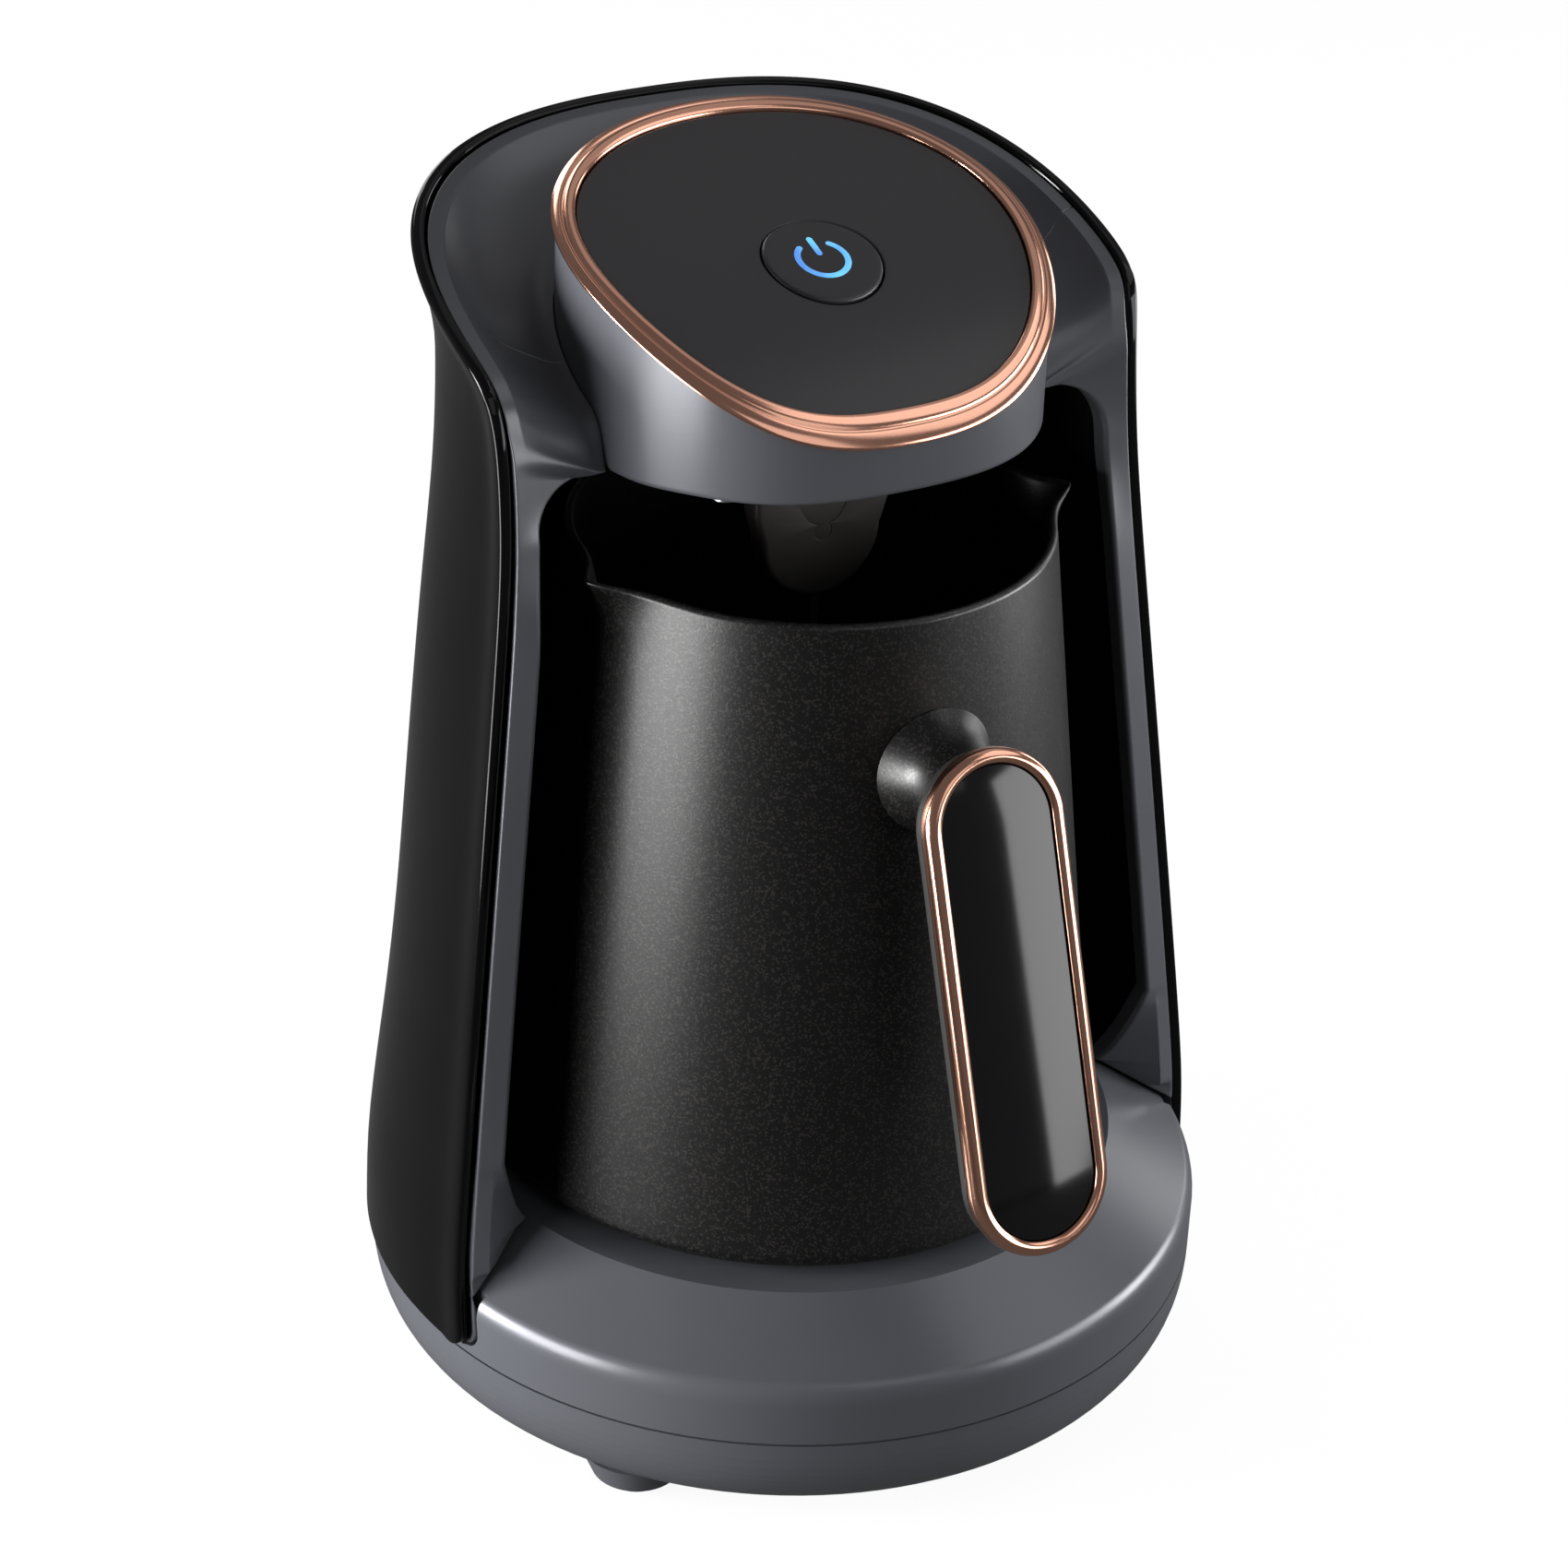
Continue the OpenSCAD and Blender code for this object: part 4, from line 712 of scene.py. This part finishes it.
ring_outline = rounded([(0.0, ring_low), (0.0, 0.45), (0.4, 0.76), (1.1, 0.86), (1.85, 0.66),
                        (2.08, 0.25), (2.3, 0.25), (2.6, 0.42), (3.5, 0.1), (ring_w, -0.35),
                        (ring_w, ring_low)],
                       [0.1, 0.3, 0.35, 0.4, 0.35, 0.1, 0.12, 0.3, 0.5, 0.35, 0.1])
rose_gold = grained("rose_gold", (0.88, 0.46, 0.325), 0.15, grain=1.2, depth=0.002, metallic=1.0,
                    cloud=0.03)
make_piece("rose_ring", np.array([head_ring(e, lift) for e, lift in ring_outline]), rose_gold,
           "housing", ["trim_ring"], wrap_rows=True, wrap_cols=True)

hole_r, panel_t = 10.1, 2.2
lean = math.atan(panel_slope)


def panel_grid():
    """The panel's top from the button's hole to its outline, with rounded edges, then its
    underside back to the hole."""
    hole = np.stack([hole_r * np.cos(turns), hole_r * math.cos(lean) * np.sin(turns)], -1)
    edge = (head_r(turns) - 0.15)[:, None] * np.stack([np.cos(turns), np.sin(turns)], -1)
    share = np.concatenate([0.02 * np.linspace(0, 1, 5) ** 2, np.linspace(0.02, 0.985, 30)[1:-1],
                            1 - 0.015 * np.linspace(1, 0, 5) ** 2])
    flat = hole + (edge - hole) * share[:, None, None]
    span = np.linalg.norm(edge - hole, axis=-1)
    fall = corner_drop(share[:, None] * span, 0.35) + corner_drop((1 - share[:, None]) * span,
                                                                 0.3)
    top = np.concatenate([flat, (panel_h(flat[..., 1]) - fall)[..., None]], -1)
    under = np.stack([flat[-1, :, 0], flat[-1, :, 1], panel_h(flat[-1, :, 1]) - panel_t], -1)
    inner = np.stack([flat[0, :, 0], flat[0, :, 1], panel_h(flat[0, :, 1]) - panel_t], -1)
    return np.concatenate([top, under[None], inner[None]])


# Its colour is lifted from black to a dark grey: painted sheen, standing in for the reflection
# that the gloss black panel shows.
panel_black_painted_sheen = grained("panel_black_painted_sheen", (0.034, 0.0315, 0.0345), 0.34, grain=6.0, depth=0.003,
                      cloud=0.1, specular=0.42)
make_piece("head_panel", panel_grid(), panel_black_painted_sheen, "housing", ["panel"],
           wrap_rows=True, wrap_cols=True)

# ---- Power button ----
# A black cap on a coil spring, crowned like the panel round it, with the usual on-off sign as a
# lit lens set flush in its top.
button_r, cap_top, cap_t, cap_round, cap_flange = 9.9, 0.3, 3.6, 0.6, 1.2
cap_crown = 0.0041                       # its top falls by this much times the square of y
icon_r, icon_w, icon_open = 4.15, 1.05, math.radians(80)


def on_panel(p):
    """Places points of the button's own frame, whose height is along the panel's normal: a turn
    round x by the panel's lean, then a lift to the panel."""
    x, y, z = p[..., 0], p[..., 1], p[..., 2]
    return np.stack([x, y * math.cos(lean) - z * math.sin(lean),
                     head_z + y * math.sin(lean) + z * math.cos(lean)], -1)


cap_profile = np.concatenate([
    [[0, 0]], np.stack([np.linspace(0.5, button_r - cap_round, 14), np.zeros(14)], -1),
    [[button_r - cap_round + cap_round * math.sin(t), -cap_round + cap_round * math.cos(t)]
     for t in turn_in[1:, 0]],
    [[button_r, -cap_t], [button_r + cap_flange, -cap_t - 0.2],
     [button_r + cap_flange, -cap_t - 1], [0, -cap_t - 1]]])
cap = np.stack([cap_profile[:, :1] * np.cos(turns), cap_profile[:, :1] * np.sin(turns),
                cap_profile[:, 1:] + 0 * turns], -1)
cap[..., 2] += cap_top - cap_crown * cap[..., 1] ** 2
# The cap shares the panel's finish, with its painted sheen.
make_piece("power_button", on_panel(cap), panel_black_painted_sheen, "button", ["button_cap"],
           wrap_cols=True)

# The sign is a ring that is open at the back, with an upright bar in the opening.
arc = math.pi / 2 + icon_open / 2 + np.linspace(0, 2 * math.pi - icon_open, 60)
ring_line = icon_r * np.stack([np.cos(arc), np.sin(arc)], -1)
bar_line = np.stack([np.zeros(12), np.linspace(1.3, 4.9, 12)], -1)


def strip_grid(line, width, steps=9):
    """A thin lens along a line of the cap's top: across it a parabola over square sides, and
    at both ends half a circle."""
    way = np.gradient(line, axis=0)
    way /= np.linalg.norm(way, axis=1, keepdims=True)
    side = np.stack([-way[:, 1], way[:, 0]], -1)
    end = np.linspace(0, math.pi / 2, 6)[1:][::-1]
    centre = np.concatenate([line[0] - way[0] * width / 2 * np.sin(end)[:, None], line,
                             (line[-1] + way[-1] * width / 2 * np.sin(end)[:, None])[::-1]])
    half = np.concatenate([np.cos(end), np.ones(len(line)), np.cos(end)[::-1]]) * width / 2
    side = np.concatenate([np.repeat(side[:1], len(end), 0), side,
                           np.repeat(side[-1:], len(end), 0)])
    k = np.linspace(-1, 1, steps)
    flat = centre[:, None] + side[:, None] * half[:, None, None] * k[None, :, None]
    surface = cap_top - cap_crown * flat[..., 1] ** 2
    top = np.concatenate([flat, (surface + 0.03 + 0.05 * (1 - k ** 2))[..., None]], -1)
    low = np.concatenate([flat, (surface - 0.3)[..., None]], -1)
    return np.concatenate([top, low[:, ::-1]], 1)


icon_light, icon_tree, icon_shader, icon_place = new_finish("icon_light")
icon_noise = icon_tree.nodes.new("ShaderNodeTexNoise")
icon_ramp = icon_tree.nodes.new("ShaderNodeValToRGB")
set_sockets(icon_shader, {"Roughness": 0.3, "Emission Strength": 0.75})
set_sockets(icon_noise, {"Scale": 160.0})
for stop, at, glow in zip(icon_ramp.color_ramp.elements, (0.35, 0.65),
                          ((0.09, 0.28, 0.75), (0.16, 0.6, 0.95))):
    stop.position, stop.color = at, (*glow, 1)
wire(icon_tree, (icon_place, "Object", icon_noise, "Vector"),
     (icon_noise, "Fac", icon_ramp, "Fac"), (icon_ramp, "Color", icon_shader, "Base Color"),
     (icon_ramp, "Color", icon_shader, "Emission Color"))
make_piece("icon_ring", on_panel(strip_grid(ring_line, icon_w)), icon_light, "button",
           ["button_lens"], wrap_cols=True)
make_piece("icon_bar", on_panel(strip_grid(bar_line, icon_w)), icon_light, "button",
           ["button_lens"], wrap_cols=True)

# ---- Sensor flap ----
# A matt black tongue on a steel pin under the head, with rounded edges and the sensing pin in
# its tip. It hangs into the pot's mouth.
flap_z, flap_y, flap_t, flap_w = ceil_z - 4.8, -1.5, 5.0, 25.0
flap_low, flap_tip_r, pin_r = rim_z - 12.7, 11.0, 1.05
to_middle = 99.0                         # an inset that closes a ring of the tongue to a point


def tongue_outline(count=120):
    """Half round below, straight sides that widen a little, and a level top."""
    tip_z = flap_low + flap_tip_r
    swing = np.linspace(-math.pi, 0, count)
    arc = np.stack([flap_tip_r * np.cos(swing), tip_z + flap_tip_r * np.sin(swing)], -1)
    sides = [(flap_tip_r, tip_z), (flap_w / 2, tip_z + 5), (flap_w / 2, flap_z - 2.7)]
    right_side = np.concatenate([np.linspace(sides[i], sides[i + 1], 12)[1:] for i in (0, 1)])
    left_side = right_side[::-1] * [-1, 1]
    return np.concatenate([left_side, arc, right_side])


tongue = tongue_outline()
tongue_middle = np.array([0.0, flap_low + flap_tip_r + 2])
tongue_rows = []
for inset, depth in np.concatenate([
        [(to_middle, -flap_t / 2)],
        rounded([(10.0, -flap_t / 2), (0, -flap_t / 2), (0, flap_t / 2), (10.0, flap_t / 2)],
                [0.1, 1.1, 1.1, 0.1], 7), [(to_middle, flap_t / 2)]]):
    away = tongue - tongue_middle
    reach = np.linalg.norm(away, axis=1, keepdims=True)
    ring = tongue_middle + away * np.maximum(0, 1 - inset / reach)
    tongue_rows.append(np.stack([ring[:, 0], np.full(len(ring), flap_y + depth), ring[:, 1]],
                                -1))
flap_black = grained("flap_black", (0.02, 0.0175, 0.016), 0.5, grain=0.5, depth=0.02)
make_piece("flap_tongue", np.array(tongue_rows), flap_black, "flap",
           ["sensor_flap"], wrap_cols=True)
# The knuckle is a tube round the pin, as wide as the tongue and a little thicker.
knuckle_r = flap_t / 2 + 0.4
knuckle = rounded([(pin_r, -flap_w / 2), (knuckle_r, -flap_w / 2), (knuckle_r, flap_w / 2),
                   (pin_r, flap_w / 2)], 0.4)
make_piece("flap_knuckle", np.stack([
    knuckle[:, 1:] + 0 * turns, flap_y + knuckle[:, :1] * np.cos(turns),
    flap_z + knuckle[:, :1] * np.sin(turns)], -1), flap_black, "flap",
    ["sensor_flap"], wrap_rows=True, wrap_cols=True)

# ---- Pot ----
# Spun and drawn metal in a satin black enamel with fine metallic flakes. Two spouts are pinched
# out of its rim, and the rim's rolled round edge catches the light.
spout_turn, spout_out, spout_rise, spout_h, spout_spread = 10.0, 6.0, 0.8, 11.0, 7.5
pot_wall, foot_round, lip_round = 1.6, 3, 0.8


def between_spouts(start, span, count):
    """Angles from one spout to the next: even steps less a sine, so closer together near both."""
    t = np.arange(count) / count
    return start + span * (t - 0.5 * np.sin(2 * math.pi * t) / (2 * math.pi))


pot_turns = np.concatenate([between_spouts(-spout_turn, 180 + 2 * spout_turn, 260),
                            between_spouts(180 + spout_turn, 180 - 2 * spout_turn, 220)])


def pot_ring(z, grow):
    """A ring of the pot at height z, grown by grow. A spout leans out with the square of the
    height over its foot and up with the height, both times a peak round its direction."""
    aside = np.min([np.abs((pot_turns + spout_turn + 180) % 360 - 180),
                    np.abs((pot_turns - 180 - spout_turn + 180) % 360 - 180)], 0)
    s = np.maximum(0, np.exp(-(aside / spout_spread) ** 1.5) - 0.02)
    k = max(0.0, (z - rim_z + spout_h) / spout_h)
    r = pot_r(z) + grow + s * spout_out * k * k
    a = np.radians(pot_turns)
    return np.stack([r * np.cos(a), r * np.sin(a), z + s * spout_rise * k], -1)


wall_rows = lerp(pot_z + foot_round, rim_z - lip_round, 1 - (1 - np.linspace(0, 1, 60)) ** 1.8)
lip_turn = np.linspace(0, math.pi, 11)[1:-1]
foot_turn = np.linspace(0, math.pi / 2, 9)[1:-1]
pot_rows = ([pot_ring(pot_z, -pot_r(pot_z)), pot_ring(pot_z, -foot_round)]
            + [pot_ring(pot_z + foot_round * (1 - math.cos(t)),
                        -foot_round + foot_round * math.sin(t)) for t in foot_turn]
            + [pot_ring(z, 0) for z in wall_rows]
            + [pot_ring(rim_z - lip_round + lip_round * math.sin(t),
                        -lip_round + lip_round * math.cos(t)) for t in lip_turn]
            + [pot_ring(z, -pot_wall) for z in wall_rows[::-1]]
            + [pot_ring(pot_z + pot_wall + foot_round * (1 - math.cos(t)) - 0.1,
                        -foot_round - pot_wall + foot_round * math.sin(t))
               for t in np.linspace(math.pi / 2, 0, 9)[1:]]
            + [pot_ring(pot_z + pot_wall - 0.1, -pot_r(pot_z + pot_wall - 0.1))])


def enamel(name, colour, flake, rough):
    """Satin enamel: a fine noise gives the relief and spreads the roughness, and scattered
    flakes take over the colour where a cell's random value is over 0.7."""
    finish, tree, shader, place = new_finish(name)
    flakes = tree.nodes.new("ShaderNodeTexVoronoi")
    choose = tree.nodes.new("ShaderNodeValToRGB")
    grain = tree.nodes.new("ShaderNodeTexNoise")
    gloss = tree.nodes.new("ShaderNodeMapRange")
    relief = tree.nodes.new("ShaderNodeBump")
    set_sockets(shader, {"Metallic": 0.25, "Specular IOR Level": 0.6})
    set_sockets(flakes, {"Scale": 3200.0})
    set_sockets(grain, {"Scale": 2400.0, "Detail": 3.0})
    set_sockets(gloss, {"To Min": rough * 0.75, "To Max": rough * 1.25})
    set_sockets(relief, {"Strength": 0.5, "Distance": 0.03 * MM})
    choose.color_ramp.interpolation = "CONSTANT"
    choose.color_ramp.elements[1].position = 0.7
    for stop, paint in zip(choose.color_ramp.elements, (colour, flake)):
        stop.color = (*paint, 1)
    wire(tree, (place, "Object", flakes, "Vector"), (place, "Object", grain, "Vector"),
         (flakes, "Color", choose, "Fac"), (choose, "Color", shader, "Base Color"),
         (grain, "Fac", gloss, "Value"), (gloss, "Result", shader, "Roughness"),
         (grain, "Fac", relief, "Height"), (relief, "Normal", shader, "Normal"))
    return finish


pot_enamel = enamel("pot_enamel", (0.004, 0.0037, 0.0035), (0.022, 0.02, 0.019), 0.35)
make_piece("pot_shell", np.array(pot_rows), pot_enamel, "pot", ["pot_body"],
           wrap_cols=True)

# ---- Spool ----
# The stem between the pot and the handle is finished in the pot's black. It flares out on to
# the pot's cone, and the handle's screw runs through its bore.
spool_drop, bore_r = 26, 1.3
spool_z = rim_z - spool_drop
handle_out, handle_t, handle_lean = 62.5, 7.0, math.radians(20)
spool_in = pot_r(spool_z) + 0.35
spool_end = handle_out - handle_t * math.cos(handle_lean) - 1.8
# The stem swells towards both ends with a cube of the way along it. Its first ring lies on the
# cone, at the root of the cone's radius squared less x squared.
along_stem = np.linspace(0, 1, 40)[:, None]
stem_r = 7.2 + 3.3 * (1 - along_stem) ** 3 + 0.9 * along_stem ** 3
stem_x = stem_r * np.cos(turns)
stem_z = spool_z + stem_r * np.sin(turns)
on_cone = np.sqrt(np.maximum(0, (pot_r(stem_z) + seat_gap) ** 2 - stem_x ** 2))
stem_y = lerp(on_cone, spool_end, along_stem)
stem = np.stack([stem_x, -stem_y, stem_z], -1)
stem_bore = [np.stack([bore_r * np.cos(turns), np.full(len(turns), -y),
                       spool_z + bore_r * np.sin(turns)], -1) for y in (spool_end, spool_in)]
make_piece("spool_stem", np.concatenate([stem, np.array(stem_bore)]), pot_enamel, "pot",
           ["spool"], wrap_rows=True, wrap_cols=True)

# ---- Handle ----
# A long loop of three pieces: the matt black core, the rose gold bezel pressed round its face
# and the glossy inlay that fills the bezel, all leaning out towards the bottom.
handle_r, handle_len, bezel_w = 12.5, 57.3, 2.5
arc_top = np.linspace(0, math.pi, 60)
arc_low = arc_top + math.pi
side = np.linspace(0, handle_len, 40)[1:-1]
loop_way = np.concatenate([
    np.stack([np.cos(arc_top), np.sin(arc_top)], -1), np.tile([-1.0, 0.0], (len(side), 1)),
    np.stack([np.cos(arc_low), np.sin(arc_low)], -1), np.tile([1.0, 0.0], (len(side), 1))])
loop_drop = np.concatenate([np.zeros(len(arc_top)), side, np.full(len(arc_low), handle_len),
                            side[::-1]])


def handle_loop(r, depth):
    """A ring of the handle, a straight-sided loop of half width r at a depth behind the face,
    turned by the handle's lean."""
    x, z = r * loop_way[:, 0], r * loop_way[:, 1] - loop_drop
    y = depth + 0 * x
    return np.stack([x, y * math.cos(handle_lean) + z * math.sin(handle_lean) - handle_out,
                     z * math.cos(handle_lean) - y * math.sin(handle_lean) + spool_z - 0.6], -1)


core_outline = np.concatenate([
    [(0, 3.2)], rounded([(0.4, 3.2), (handle_r - 0.6, 3.2), (handle_r - 0.6, handle_t - 1.2),
                         (handle_r - 2.4, handle_t), (0.4, handle_t)], [0.1, 0.2, 0.8, 0.8, 0.1]),
    [(0, handle_t)]])
make_piece("handle_back", np.array([handle_loop(r, d) for r, d in core_outline]), matt_black,
           "pot", ["handle_core"], wrap_cols=True)
bezel_outline = rounded([(handle_r - bezel_w, 3.0), (handle_r - bezel_w, 0.55),
                         (handle_r - bezel_w + 0.5, 0.1), (handle_r - 1.1, 0.0),
                         (handle_r, 0.9), (handle_r, 3.0)], [0.1, 0.3, 0.5, 0.9, 0.7, 0.3])
make_piece("rose_bezel", np.array([handle_loop(r, d) for r, d in bezel_outline]), rose_gold,
           "pot", ["handle_bezel"], wrap_rows=True, wrap_cols=True)
inlay_black = grained("inlay_black", (0.006, 0.0055, 0.0062), 0.1, grain=9.0, depth=0.002,
                      cloud=0.2, specular=0.42)
# The inlay's face falls back from its middle with the square of the share, to a small chamfer.
inlay_r = handle_r - bezel_w - 0.1
inlay_share = np.concatenate([np.linspace(0, 0.95, 20), [0.975, 0.99, 1.0]])
inlay_rows = [handle_loop(inlay_r * s, 0.15 + 0.75 * s ** 2 + (0.25 if s == 1 else 0))
              for s in inlay_share]
make_piece("inlay_face", np.array(inlay_rows + [handle_loop(inlay_r, 3.0),
                                                handle_loop(0, 3.0)]),
           inlay_black, "pot", ["handle_inlay"], wrap_cols=True)
